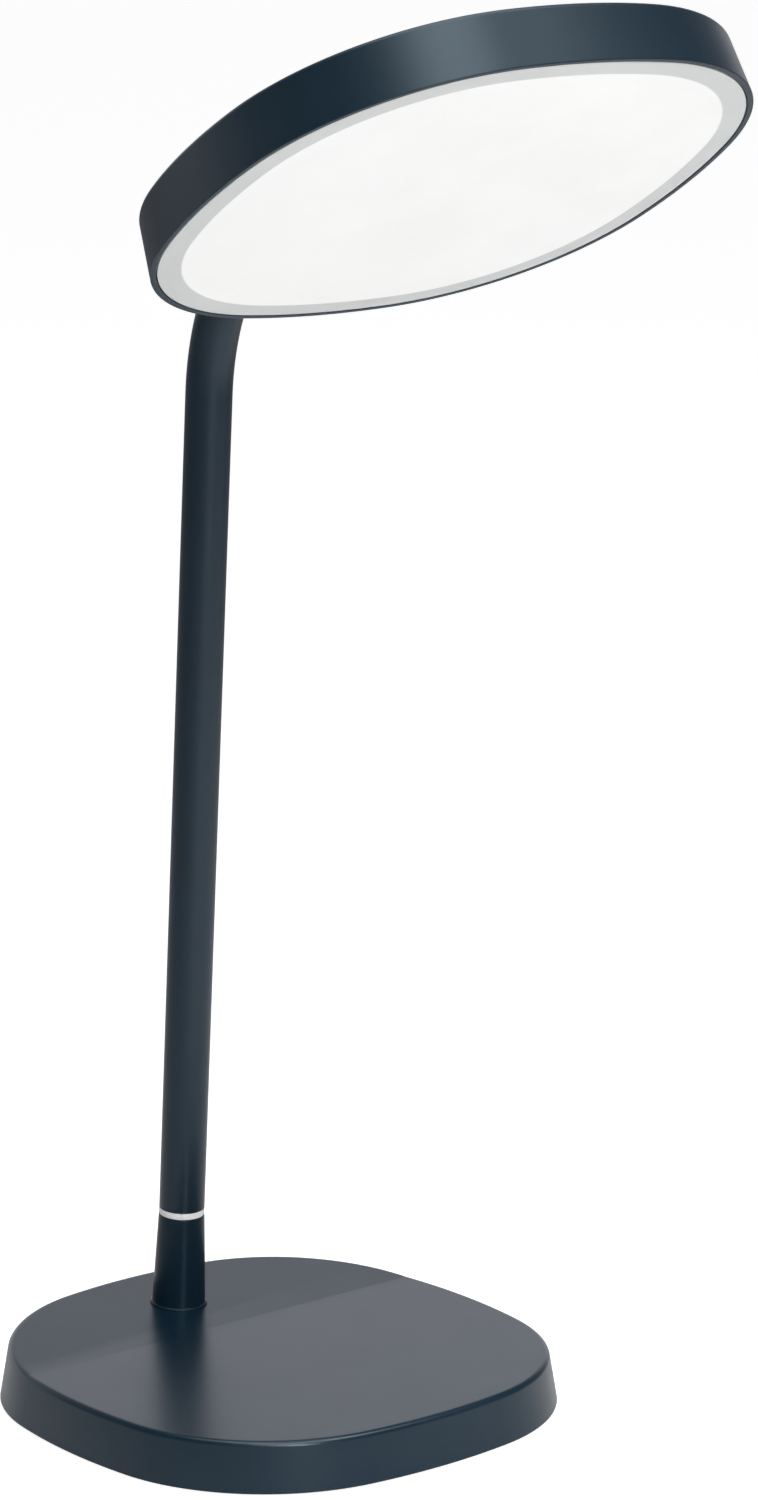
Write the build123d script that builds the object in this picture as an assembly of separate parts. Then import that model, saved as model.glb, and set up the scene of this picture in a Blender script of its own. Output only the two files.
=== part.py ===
from build123d import *
from math import atan2, cos, degrees, radians, sin, sqrt, tan
import os

# Light therapy lamp: a weighted rounded-square base, a bent tube stem that swivels in a
# collar, and a thin rounded-square light panel that tilts on the stem's end.
# Millimetres, +Z up, the lamp faces -Y, origin on the table under the middle of the base.

# ---- stem tube and pose
TUBE_D = 16.0             # outside diameter of the stem tube
TUBE_WALL = 1.2
STEM_STRAIGHT = 327.4     # from the base's top to the start of the bend
BEND_R = 76.4             # centreline radius of the bend
ARM_LENGTH = 101.0        # from the end of the bend to the head's hinge
SWIVEL_AT_REST = -5.8     # degrees the stem stands turned from straight ahead
SWIVEL_EACH_WAY = 90.0    # degrees from straight ahead to either stop
HEAD_TILT = 30.0          # degrees the panel's front edge is raised at rest

# ---- base
BASE_WIDTH = 179.4
BASE_CORNER_R = 68.3
BASE_SIDE_R = 210.2       # the sides bow out at this radius
BASE_DRAFT = 9.6          # degrees the side wall leans in
BASE_FRONT_H = 17.7       # height of the flat front part of the top
CREASE_Y = 31.3           # where the top starts to rise towards the stem
REAR_RISE = 3.8           # degrees; the stem stands square to this slope
CREASE_R = 10.0           # the crease is slightly rounded
FOOT_FROM_REAR = 32.5     # from the stem's axis to the rear edge
TOP_EDGE_R = 2.0
COVER_WALL = 2.5
COVER_LIFT = 0.8          # the cover's lower edge above the table
PAD_T = 1.5
PAD_INSET = 7.0
PAN_T = 2.5
PAN_GAP = 0.3             # between pan and cover wall
PAN_SKIN = 1.0            # left under a blind hole
POST_R = 3.5
POST_INSET_X = 27.7       # the cover's four screw posts, in from the sides
POST_INSET_Y = 29.7
BASE_SCREW_DEPTH = 9.0
BALLAST_INSET = 19.7
BALLAST_T = 6.0
BALLAST_SCREW_AT = (48.0, 30.0)
NOTCH_HALF = 17.0         # cut-out in the ballast round the stem's fixings
NOTCH_FRONT = 14.0        # how far it reaches ahead of the stem's axis

# ---- power inlet
JACK_BODY = (9.0, 13.5, 9.5)
JACK_BORE_R = 2.75
JACK_BORE_DEPTH = 9.0
JACK_PIN_R = 1.05
JACK_PIN_RECESS = 0.8
JACK_PIN_CHAMFER = 0.3
JACK_ROOT_R = 0.8         # the pin's root in the jack's floor
JACK_ROOT_DEPTH = 2.0
JACK_NECK = 0.5           # bare root above the floor
JACK_NOSE_R = 4.0
JACK_SUNK = 0.3           # the mouth inside the cover's face
JACK_SET_BACK = 3.7       # wall and gap between the jack's body and the cover's face
BOARD_LIFT = 1.0          # inlet board above the pan
BOARD_T = 1.6
BOARD_HALF = 14.0
BOARD_SCREW_X = 10.5
BOARD_SCREW_Y = 5.2       # behind the board's front edge
BOARD_POST_R = 2.5
BOARD_SCREW_BITE = 1.2
BOARD_FRONT = 8.7         # board's front edge behind the stem's axis
LEAD_R = 1.2
LEAD_GAP = 0.1            # between a lead and what it lies on
LEAD_BEND_R = 3.5         # the base lead turns up into the swivel shaft
LEAD_END_GAP = 2.0        # between the two leads inside the swivel shaft

# ---- collar and swivel
COLLAR_H = 33.5
COLLAR_FLARE = 1.4        # the collar's foot is this much wider than the tube
COLLAR_LIP = 0.7
COLLAR_LIP_H = 0.5
SHANK_WALL = 2.0
BACKING_T = 1.5
BACKING_SIZE = (44.0, 34.0)
COLLAR_NUT_T = 2.5
COLLAR_NUT_RIM = 4.0      # flats outside the thread
SHANK_SPARE = 0.3
BUSH_WALL = 1.0
BUSH_LENGTH = 12.0
RELIEF = 0.5              # room round the shaft between the bushes
RING_H = 2.4              # white thrust ring under the tube
SHAFT_R = 4.0
LEAD_ROOM = 0.9           # radial, between the lead and the shaft's bore
PLUG_LENGTH = 20.0
SWIVEL_WASHER_T = 0.8
SPRING_WASHER_T = 0.8
SWIVEL_NUT_T = 3.2
SWIVEL_NUT_RIM = 2.5
STOP_TIP_R = 1.1
STOP_SCREW_R = 1.5
STOP_SCREW_SUNK = 0.4     # below the collar's face
GROOVE_DEPTH = 1.0
GROOVE_H = 3.4
GROOVE_SPARE = 1.0        # degrees past each stop

# ---- hinge
ARM_CLEAR = 9.4           # between the arm and the head's back
TILT_DOWN = 5.0           # degrees the head tilts either way from rest
TILT_UP = 60.0
TONGUE_HALF = 4.0
TONGUE_WALL = 3.4         # round the hinge bolt
EAR_T = 4.4
WASHER_T = 0.6
WASHER_RIM = 2.8
SHOULDER_AT = 10.0        # where the knuckle becomes round, from the hinge
SHOULDER_CHAMFER = 1.5
TUBE_END_AT = 15.0
KNUCKLE_PLUG = 16.0
CHANNEL_ROOM = 0.3        # round the lead through knuckle, hinge bolt and ear
LEAD_TURN_R = 2.0
BRACKET_SIZE = (30.0, 36.0)
BRACKET_T = 3.0
BRACKET_CORNER_R = 5.0
BRACKET_EDGE_R = 1.0
BRACKET_SKIN = 0.4        # left over the blind screw holes
BACKING_RIM = 2.0         # the backing plate reaches past the bracket
BRACKET_SCREW_AT = (10.5, 13.0)
HINGE_BOLT_R = 4.0        # hollow, the lead turns inside it
BOLT_HEAD_RIM = 2.0
BOLT_HEAD_T = 2.6
BOLT_SOCKET = 4.0         # across the flats
HINGE_NUT_RIM = 1.5
HINGE_NUT_T = 3.2
BOLT_SPARE = 0.4          # bolt end past its nut
CAP_SHOULDER = 0.1        # the caps are this much smaller than the ears
CAP_GAP = 0.2             # inside a cap, past the bolt's end
CAP_WALL = 0.8
CAP_EDGE_R = 1.6

GROMMET_WALL = 2.2        # rubber round the lead
GROMMET_LIP = 1.2
GROMMET_LIP_T = 0.9

# ---- head
HEAD_WIDTH = 185.9
HEAD_CORNER_R = 77.4
HEAD_SIDE_R = 165.7
HEAD_T = 19.9
HEAD_DRAFT = 4.7          # degrees the side wall leans in towards the back
BACK_EDGE_R = 1.6
FRONT_EDGE_R = 0.4
RIM = 2.0                 # side wall, seen from the front as the rim
BACK_T = 2.2
BORDER = 8.1              # unlit border between the rim and the lit window
DIFFUSER_T = 2.0
DIFFUSER_SET_BACK = 0.1
DIFFUSER_GAP = 0.25
FRAME_GAP = 0.8
FLANGE_T = 1.0
FRAME_WALL = 4.1
GUIDE_T = 3.0
GUIDE_LAP = 1.4           # light guide behind the border
REFLECTOR_T = 0.5
CHASSIS_T = 1.2
STRIP_T = 0.4
STRIP_EDGE = 0.2
LED_SIZE = (3.5, 0.7, 1.4)
LED_COUNT = 64
HEAD_POST_R = 2.6
FRAME_SCREW_R = 1.1
FRAME_HEAD_R = 1.7
FRAME_SCREW_COUNT = 8
FRAME_SCREW_LENGTH = 12.0

# ---- control board and buttons
BUTTON_R = 4.5
BUTTON_PROUD = 1.0
BUTTON_TRAVEL = 0.6
BUTTON_GAP = 0.3
BUTTON_FLANGE = 0.9       # how far the flange stands out past the cap
BUTTON_FLANGE_T = 1.0
BUTTON_FLANGE_GAP = 0.2
BUTTON_STEM_R = 2.0
BUTTON_STEM_H = 1.0
BUTTON_PITCH = 16.0
BUTTON_FROM_EDGE = 41.0   # from the head's front edge to the row of buttons
BUTTON_EDGE_R = 0.5
ICON_R = 2.1
ICON_LINE = 0.5
ICON_DEPTH = 0.25
ICON_GAP = 1.5            # break in the power ring
ICON_BAR_AT = 1.47        # middle of the power bar
SUN_R = 1.26
RAY_LENGTH = 0.84
RAY_COUNT = 8
SWITCH_GAP = 0.05
SWITCH_SIZE = (6.0, 6.0, 3.4)
SWITCH_PLUNGER_R = 1.7
SWITCH_PLUNGER_H = 0.8
CONTROL_SIZE = (66.0, 34.0)
CONTROL_T = 1.2
CONTROL_SCREW_AT = (29.5, 13.5)
CONTROL_BITE = 3.0        # screw into the post behind the board
CONNECTOR_SIZE = (9.0, 6.0, 5.0)
PARTS_ROW = 11.0          # driver parts in front of the buttons
INDUCTOR_R = 4.0
INDUCTOR_H = 4.5
INDUCTOR_X = -14.0
CAPACITOR_R = 3.0
CAPACITOR_H = 5.5
CAPACITOR_X = (-4.0, 4.0)
CHIP_SIZE = (6.0, 5.0, 1.5)
CHIP_X = 15.0

# ---- fasteners and clearances
SCREW_R = 1.5             # M3 screws
SCREW_HEAD_R = 2.8
SCREW_HEAD_T = 1.4
SCREW_SOCKET = 2.0        # across the flats of the hex socket
SCREW_STOP = 1.0          # a blind hole goes this much deeper than its screw
SMALL_SCREW_R = 1.0       # M2 screws on the boards
SMALL_HEAD_R = 1.9
SMALL_HEAD_T = 1.0
SMALL_SOCKET = 1.3
THREAD_GAP = 0.02         # radial, screw in its thread
SLIP_GAP = 0.02           # radial, a plug or bush in its seat
RUN_GAP = 0.05            # radial, turning shaft in its hole
HOLE_GAP = 0.2            # radial, screw through a plain hole
CUT = 1.0                 # how far a cutting tool passes the face it cuts

# ---- levels worked out from the sizes above
FOOT_Y = BASE_WIDTH / 2 - FOOT_FROM_REAR
POST_AT = (BASE_WIDTH / 2 - POST_INSET_X, BASE_WIDTH / 2 - POST_INSET_Y)
BUTTON_Y = BUTTON_FROM_EDGE - HEAD_WIDTH / 2
HINGE_H = TUBE_D / 2 + ARM_CLEAR
COLLAR_FOOT_R = TUBE_D / 2 + COLLAR_FLARE
COLLAR_LIP_R = COLLAR_FOOT_R + COLLAR_LIP
BUSH_R = SHAFT_R + BUSH_WALL
SHANK_R = BUSH_R + SHANK_WALL
RELIEF_R = SHAFT_R + RELIEF
SHAFT_BORE_R = LEAD_R + LEAD_ROOM
GROOVE_FLOOR_R = SHAFT_R - GROOVE_DEPTH
COLLAR_NUT_AF = 2 * (SHANK_R + COLLAR_NUT_RIM)
SWIVEL_NUT_AF = 2 * (SHAFT_R + SWIVEL_NUT_RIM)
LEAD_CHANNEL_R = LEAD_R + CHANNEL_ROOM
GROMMET_R = LEAD_R + GROMMET_WALL
GROMMET_LIP_R = GROMMET_R + GROMMET_LIP
TONGUE_R = HINGE_BOLT_R + TONGUE_WALL
WASHER_R = HINGE_BOLT_R + WASHER_RIM
BOLT_HEAD_R = HINGE_BOLT_R + BOLT_HEAD_RIM
HINGE_NUT_AF = 2 * (HINGE_BOLT_R + HINGE_NUT_RIM)
CAP_R = TONGUE_R - CAP_SHOULDER
CAP_H = HINGE_NUT_T + BOLT_SPARE + CAP_GAP + CAP_WALL
BASE_OUTLINE = (BASE_WIDTH / 2, BASE_CORNER_R, BASE_SIDE_R)
HEAD_OUTLINE = (HEAD_WIDTH / 2, HEAD_CORNER_R, HEAD_SIDE_R)
PAN_TOP = PAD_T + PAN_T
FOOT_Z = BASE_FRONT_H + (FOOT_Y - CREASE_Y) * tan(radians(REAR_RISE))
FAR = BASE_WIDTH
NUT_TOP = -COVER_WALL - BACKING_T
SHANK_END = NUT_TOP - COLLAR_NUT_T - SHANK_SPARE
STOP_Z = (SHANK_END + COLLAR_H) / 2
SPRING_TOP = SHANK_END - SWIVEL_WASHER_T
SWIVEL_NUT_TOP = SPRING_TOP - SPRING_WASHER_T
SHAFT_END = SWIVEL_NUT_TOP - SWIVEL_NUT_T - SHANK_SPARE
TUBE_START = COLLAR_H + RING_H
PLUG_R = TUBE_D / 2 - TUBE_WALL - SLIP_GAP
BEND_ANGLE = 90 - HEAD_TILT - REAR_RISE
HEAD_BACK = -HINGE_H
HEAD_FRONT = -HINGE_H - HEAD_T
EAR_OUT = TONGUE_HALF + WASHER_T + EAR_T
EAR_MIDDLE = EAR_OUT - EAR_T / 2
BRACKET_TOP = HEAD_BACK + BRACKET_T
FRAME_FRONT = HEAD_FRONT + DIFFUSER_SET_BACK + DIFFUSER_T
GUIDE_FRONT = FRAME_FRONT + FLANGE_T
REFLECTOR_FRONT = GUIDE_FRONT + GUIDE_T
CHASSIS_FRONT = REFLECTOR_FRONT + REFLECTOR_T
CHASSIS_BACK = CHASSIS_FRONT + CHASSIS_T
WINDOW_INSET = RIM + BORDER
FRAME_INSET = RIM + FRAME_GAP
STRIP_INSET = FRAME_INSET + FRAME_WALL
POST_INSET = FRAME_INSET + FRAME_WALL / 2
FLANGE_TOP = HEAD_BACK - BACK_T - BUTTON_FLANGE_GAP
BUTTON_END = FLANGE_TOP - BUTTON_FLANGE_T - BUTTON_STEM_H
SWITCH_TOP = BUTTON_END - BUTTON_TRAVEL - SWITCH_GAP
CONTROL_TOP = SWITCH_TOP - SWITCH_PLUNGER_H - SWITCH_SIZE[2]
INLET_BOARD_TOP = PAN_TOP + BOARD_LIFT + BOARD_T
AXIS_Y_AT_BOARD = FOOT_Y + (FOOT_Z - PAN_TOP - LEAD_R) * tan(radians(REAR_RISE))
INLET_BOARD_FRONT = AXIS_Y_AT_BOARD + BOARD_FRONT
JACK_Z = INLET_BOARD_TOP + JACK_BODY[2] / 2
WALL_AT_JACK = BASE_WIDTH / 2 - (JACK_Z - COVER_LIFT) * tan(radians(BASE_DRAFT))
JACK_MOUTH_Y = WALL_AT_JACK - JACK_SUNK
JACK_BODY_BACK = JACK_MOUTH_Y - JACK_SET_BACK

# ---- places: the foot of the stem, the stem turned in it, and the head on its hinge
FOOT = Location((0, FOOT_Y, FOOT_Z), (REAR_RISE, 0, 0))
STEM = FOOT * Location((0, 0, 0), (0, 0, SWIVEL_AT_REST))
HINGE_OUT = BEND_R * (1 - cos(radians(BEND_ANGLE))) + ARM_LENGTH * sin(radians(BEND_ANGLE))
HINGE_UP = STEM_STRAIGHT + BEND_R * sin(radians(BEND_ANGLE)) + ARM_LENGTH * cos(radians(BEND_ANGLE))
HEAD = STEM * Location((0, -HINGE_OUT, HINGE_UP), (-HEAD_TILT - REAR_RISE, 0, 0))
WORLD = Location((0, 0, 0))


# ---- shapes used by several sub-parts


def rod(radius, low, high, x=0.0, y=0.0):
    """Upright round bar between two heights."""
    return Pos(x, y, low) * Cylinder(radius, high - low, align=(Align.CENTER, Align.CENTER, Align.MIN))


def collar_of(outer_r, inner_r, low, high, x=0.0, y=0.0):
    """Upright ring between two heights."""
    return rod(outer_r, low, high, x, y) - rod(inner_r, low - CUT, high + CUT, x, y)


def rod_x(radius, start, end, y=0.0, z=0.0):
    """Round bar along X."""
    return Pos(0, y, z) * Rot(0, 90, 0) * rod(radius, start, end)


def rod_y(radius, start, end, x=0.0, z=0.0):
    """Round bar along Y."""
    return Pos(x, 0, z) * Rot(-90, 0, 0) * rod(radius, start, end)


def block(size, low_centre):
    """Box that stands on the middle of its lower face."""
    return Pos(*low_centre) * Box(*size, align=(Align.CENTER, Align.CENTER, Align.MIN))


def hexagon(across_flats, low, high):
    """Six-sided bar between two heights."""
    flat = RegularPolygon(across_flats / 2, 6, major_radius=False)
    return Pos(0, 0, low) * extrude(flat, high - low)


def wedge(radius, height, start, arc):
    """Slice of a round bar about the origin, from one angle round by another."""
    slice_of = Cylinder(radius, height, arc_size=arc, align=(Align.NONE, Align.NONE, Align.CENTER))
    return Rot(0, 0, start) * slice_of


def four(at):
    """The four corners of a rectangle."""
    return [(sx * at[0], sy * at[1]) for sx in (-1, 1) for sy in (-1, 1)]


def squircle_wire(outline, inset=0.0):
    """Closed outline of four bowed sides and four round corners, all tangent."""
    half, corner_r, side_r = (size - inset for size in outline)
    bow = side_r - half
    centre = (sqrt(2 * (side_r - corner_r) ** 2 - bow**2) - bow) / 2
    join = atan2(centre, centre + bow)
    near = side_r * sin(join)
    far = side_r * cos(join) - bow
    corner = centre + corner_r * sqrt(0.5)
    edges = []
    for quarter in range(4):
        turn = Rot(0, 0, 90 * quarter)
        edges.append(turn * ThreePointArc((near, far), (0, half), (-near, far)))
        edges.append(turn * ThreePointArc((-near, far), (-corner, corner), (-far, near)))
    return Wire([edge for line in edges for edge in line.edges()])


def squircle(outline, inset, low, high, draft=0.0):
    """Solid on that outline; the draft leans its walls in as it rises."""
    face = Pos(0, 0, low) * Face(squircle_wire(outline, inset))
    return extrude(face, high - low, dir=(0, 0, 1), taper=draft)


def squircle_ring(outline, outer_inset, inner_inset, low, high):
    """Band between two insets of the outline."""
    hole = squircle(outline, inner_inset, low - CUT, high + CUT)
    return squircle(outline, outer_inset, low, high) - hole


def around(outline, inset, count):
    """Evenly spaced places on the outline, X along it and Y towards the middle."""
    wire = squircle_wire(outline, inset)
    places = []
    for step in range(count):
        point = wire @ (step / count)
        along = wire % (step / count)
        inward = atan2(-point.Y, -point.X)
        turn = atan2(along.Y, along.X)
        if sin(inward - turn) < 0:
            turn += radians(180)
        places.append(Location((point.X, point.Y, 0), (0, 0, degrees(turn))))
    return places


def head_screw(shank_r, length, head_r, head_t, socket_af):
    """Screw standing on its head, shank up, with a hex socket underneath."""
    body = rod(head_r, 0, head_t) + rod(shank_r, head_t, head_t + length)
    return body - hexagon(socket_af, -CUT, head_t / 2)


# ---- base


def above_top(drop=0.0):
    """Everything over the base's creased top, lowered by a wall for the inside."""
    rise = tan(radians(REAR_RISE))
    top = BASE_FRONT_H - drop
    points = [
        (-FAR, top),
        (CREASE_Y, top),
        (FAR, top + (FAR - CREASE_Y) * rise),
        (FAR, FAR),
        (-FAR, FAR),
    ]
    section = make_face(Polyline(*points, close=True))
    crease = section.vertices().sort_by_distance((CREASE_Y, top))[0]
    section = fillet(crease, CREASE_R)
    return extrude(Plane.YZ * section, FAR, both=True)


def cover_block(inset, drop):
    """Solid form of the cover, or of the space inside it."""
    tall = squircle(BASE_OUTLINE, inset, COVER_LIFT, BASE_FRONT_H * 2, BASE_DRAFT)
    return tall - above_top(drop)


def nonslip_pad():
    return squircle(BASE_OUTLINE, PAD_INSET, 0, PAD_T)


def pan_inset():
    """How far the pan stays inside the cover's foot, at the pan's own height."""
    return COVER_WALL + (PAN_TOP - COVER_LIFT) * tan(radians(BASE_DRAFT)) + PAN_GAP


def base_pan():
    pan = squircle(BASE_OUTLINE, pan_inset(), PAD_T, PAN_TOP)
    for x, y in four(POST_AT) + four(BALLAST_SCREW_AT):
        pan -= rod(SCREW_R + HOLE_GAP, 0, PAN_TOP + CUT, x, y)
        pan -= rod(SCREW_HEAD_R + HOLE_GAP, 0, PAD_T + SCREW_HEAD_T + THREAD_GAP, x, y)
    for x in (-BOARD_SCREW_X, BOARD_SCREW_X):
        y = INLET_BOARD_FRONT + BOARD_SCREW_Y
        pan += rod(BOARD_POST_R, PAN_TOP, PAN_TOP + BOARD_LIFT, x, y)
        pan -= rod(SMALL_SCREW_R + THREAD_GAP, PAD_T + PAN_SKIN, PAN_TOP + BOARD_LIFT + CUT, x, y)
    return pan


def base_cover():
    outside = cover_block(0, 0)
    top_edges = outside.edges().filter_by(lambda e: e.center().Z > BASE_FRONT_H - 1)
    rim = top_edges.filter_by(lambda e: e.geom_type != GeomType.LINE)
    outside = fillet(rim, TOP_EDGE_R)
    room = cover_block(COVER_WALL, COVER_WALL)
    room += squircle(BASE_OUTLINE, COVER_WALL, -CUT, COVER_LIFT)
    cover = outside - room
    for x, y in four(POST_AT):
        post = rod(POST_R, PAN_TOP, BASE_FRONT_H * 2, x, y)
        cover += post & cover_block(COVER_WALL / 2, COVER_WALL / 2)
        cover -= rod(SCREW_R + THREAD_GAP, PAN_TOP - CUT, PAN_TOP + BASE_SCREW_DEPTH, x, y)
    cover -= FOOT * rod(SHANK_R + HOLE_GAP, -COVER_WALL - CUT, CUT)
    cover -= rod_y(JACK_NOSE_R + HOLE_GAP / 2, JACK_BODY_BACK, FAR, z=JACK_Z)
    return cover


def ballast_plate():
    plate = squircle(BASE_OUTLINE, BALLAST_INSET, PAN_TOP, PAN_TOP + BALLAST_T)
    notch_start = FOOT_Y - NOTCH_FRONT
    notch = block((2 * NOTCH_HALF, FAR, BALLAST_T + 2 * CUT), (0, notch_start + FAR / 2, PAN_TOP - CUT))
    plate -= fillet(notch.edges().filter_by(Axis.Z), TOP_EDGE_R)
    for x, y in four(BALLAST_SCREW_AT):
        plate -= rod(SCREW_R + THREAD_GAP, PAN_TOP - CUT, PAN_TOP + BALLAST_T + CUT, x, y)
    return plate


def base_screws():
    length = PAN_TOP + BASE_SCREW_DEPTH - SCREW_STOP - PAD_T - SCREW_HEAD_T
    screw = head_screw(SCREW_R, length, SCREW_HEAD_R, SCREW_HEAD_T, SCREW_SOCKET)
    return Compound([Pos(x, y, PAD_T) * screw for x, y in four(POST_AT)])


def ballast_screws():
    length = PAN_TOP + BALLAST_T - SCREW_STOP - PAD_T - SCREW_HEAD_T
    screw = head_screw(SCREW_R, length, SCREW_HEAD_R, SCREW_HEAD_T, SCREW_SOCKET)
    return Compound([Pos(x, y, PAD_T) * screw for x, y in four(BALLAST_SCREW_AT)])


def dc_jack():
    back = JACK_BODY_BACK
    body = block(JACK_BODY, (0, back - JACK_BODY[1] / 2, INLET_BOARD_TOP))
    body += rod_y(JACK_NOSE_R, back, JACK_MOUTH_Y, z=JACK_Z)
    body -= rod_y(JACK_BORE_R, JACK_MOUTH_Y - JACK_BORE_DEPTH, JACK_MOUTH_Y + CUT, z=JACK_Z)
    floor = JACK_MOUTH_Y - JACK_BORE_DEPTH
    return body - rod_y(JACK_ROOT_R + SLIP_GAP, floor - JACK_ROOT_DEPTH, floor + CUT, z=JACK_Z)


def dc_jack_pin():
    """Centre contact: its thin root is riveted in the jack's floor."""
    floor = JACK_MOUTH_Y - JACK_BORE_DEPTH
    pin = rod_y(JACK_PIN_R, floor + JACK_NECK, JACK_MOUTH_Y - JACK_PIN_RECESS, z=JACK_Z)
    pin = chamfer(pin.edges().sort_by(Axis.Y)[-1], JACK_PIN_CHAMFER)
    return pin + rod_y(JACK_ROOT_R, floor - JACK_ROOT_DEPTH, floor + JACK_NECK, z=JACK_Z)


def inlet_board():
    depth = JACK_BODY_BACK - INLET_BOARD_FRONT
    low = (0, INLET_BOARD_FRONT + depth / 2, PAN_TOP + BOARD_LIFT)
    board = block((2 * BOARD_HALF, depth, BOARD_T), low)
    for x in (-BOARD_SCREW_X, BOARD_SCREW_X):
        y = INLET_BOARD_FRONT + BOARD_SCREW_Y
        board -= rod(SMALL_SCREW_R + HOLE_GAP, PAN_TOP, INLET_BOARD_TOP + CUT, x, y)
    return board


def inlet_board_screws():
    length = BOARD_T + BOARD_LIFT + BOARD_SCREW_BITE
    screw = Rot(180, 0, 0) * head_screw(SMALL_SCREW_R, length, SMALL_HEAD_R, SMALL_HEAD_T, SMALL_SOCKET)
    y = INLET_BOARD_FRONT + BOARD_SCREW_Y
    z = INLET_BOARD_TOP + SMALL_HEAD_T
    return Compound([Pos(x, y, z) * screw for x in (-BOARD_SCREW_X, BOARD_SCREW_X)])


def lead_along(points, turn_r):
    """Round lead through a row of points with rounded turns."""
    route = FilletPolyline(*points, radius=turn_r)
    section = Plane(origin=route @ 0, z_dir=route % 0) * Circle(LEAD_R)
    return sweep(section, route)


def base_lead():
    z = PAN_TOP + LEAD_R + LEAD_GAP
    turn_y = FOOT_Y + (FOOT_Z - z) * tan(radians(REAR_RISE))
    end = (FOOT * Pos(0, 0, STOP_Z - GROOVE_H)).position
    return lead_along([(0, INLET_BOARD_FRONT, z), (0, turn_y, z), (0, end.Y, end.Z)], LEAD_BEND_R)


# ---- collar: all in the foot's frame, axis on Z, the cover's top at zero


def stem_collar():
    outline = [
        (0, 0),
        (COLLAR_LIP_R, 0),
        (COLLAR_LIP_R, COLLAR_LIP_H),
        (COLLAR_FOOT_R, COLLAR_LIP_H + COLLAR_LIP_R - COLLAR_FOOT_R),
        (TUBE_D / 2, COLLAR_H),
        (0, COLLAR_H),
    ]
    collar = revolve(Plane.XZ * make_face(Polyline(*outline, close=True)), Axis.Z)
    collar += rod(SHANK_R, SHANK_END, CUT)
    collar -= rod(RELIEF_R, SHANK_END - CUT, COLLAR_H + CUT)
    collar -= rod(BUSH_R + SLIP_GAP, COLLAR_H - BUSH_LENGTH, COLLAR_H + CUT)
    collar -= rod(BUSH_R + SLIP_GAP, SHANK_END - CUT, SHANK_END + BUSH_LENGTH)
    return collar - rod_y(STOP_SCREW_R + THREAD_GAP, 0, COLLAR_LIP_R + CUT, z=STOP_Z)


def backing_plate():
    plate = block((*BACKING_SIZE, BACKING_T), (0, 0, NUT_TOP))
    plate = fillet(plate.edges().filter_by(Axis.Z), BRACKET_CORNER_R)
    return plate - rod(SHANK_R + HOLE_GAP, NUT_TOP - CUT, CUT)


def collar_nut():
    nut = hexagon(COLLAR_NUT_AF, NUT_TOP - COLLAR_NUT_T, NUT_TOP)
    return nut - rod(SHANK_R + THREAD_GAP, NUT_TOP - COLLAR_NUT_T - CUT, NUT_TOP + CUT)


def upper_bush():
    return collar_of(BUSH_R, SHAFT_R + RUN_GAP, COLLAR_H - BUSH_LENGTH, COLLAR_H)


def lower_bush():
    return collar_of(BUSH_R, SHAFT_R + RUN_GAP, SHANK_END, SHANK_END + BUSH_LENGTH)


def stop_screw():
    outer = COLLAR_FOOT_R - (COLLAR_FOOT_R - TUBE_D / 2) * STOP_Z / COLLAR_H - STOP_SCREW_SUNK
    screw = rod_y(STOP_SCREW_R, RELIEF_R, outer, z=STOP_Z)
    screw += rod_y(STOP_TIP_R, GROOVE_FLOOR_R + HOLE_GAP, RELIEF_R, z=STOP_Z)
    socket = Pos(0, 0, STOP_Z) * Rot(-90, 0, 0) * hexagon(SMALL_SOCKET, outer - SMALL_SOCKET, outer + CUT)
    return screw - socket


# ---- stem: in the stem's frame, the same axis turned by the swivel


def trim_ring():
    return collar_of(TUBE_D / 2, SHAFT_R + HOLE_GAP, COLLAR_H, TUBE_START)


def swivel_shaft():
    shaft = rod(SHAFT_R, SHAFT_END, TUBE_START + CUT)
    shaft += rod(PLUG_R, TUBE_START, TUBE_START + PLUG_LENGTH)
    shaft -= rod(SHAFT_BORE_R, SHAFT_END - CUT, TUBE_START + PLUG_LENGTH + CUT)
    tip_half = degrees(atan2(STOP_TIP_R, GROOVE_FLOOR_R + HOLE_GAP))
    arc = 2 * (SWIVEL_EACH_WAY + tip_half + GROOVE_SPARE)
    groove = wedge(SHAFT_R + CUT, GROOVE_H, 90 - arc / 2, arc)
    return shaft - Pos(0, 0, STOP_Z) * (groove - Cylinder(GROOVE_FLOOR_R, GROOVE_H + 2 * CUT))


def swivel_washer():
    return collar_of(SHANK_R, SHAFT_R + HOLE_GAP, SPRING_TOP, SHANK_END)


def spring_washer():
    """Dished spring washer, squeezed between the washer and the nut."""
    inner = SHAFT_R + HOLE_GAP
    outer = SWIVEL_NUT_AF / 2
    half = SPRING_WASHER_T / 2
    points = [
        (inner, SWIVEL_NUT_TOP),
        (outer, SWIVEL_NUT_TOP + half),
        (outer, SPRING_TOP),
        (inner, SWIVEL_NUT_TOP + half),
    ]
    return revolve(Plane.XZ * make_face(Polyline(*points, close=True)), Axis.Z)


def swivel_nut():
    nut = hexagon(SWIVEL_NUT_AF, SWIVEL_NUT_TOP - SWIVEL_NUT_T, SWIVEL_NUT_TOP)
    return nut - rod(SHAFT_R + THREAD_GAP, SHAFT_END - CUT, SWIVEL_NUT_TOP + CUT)


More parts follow.
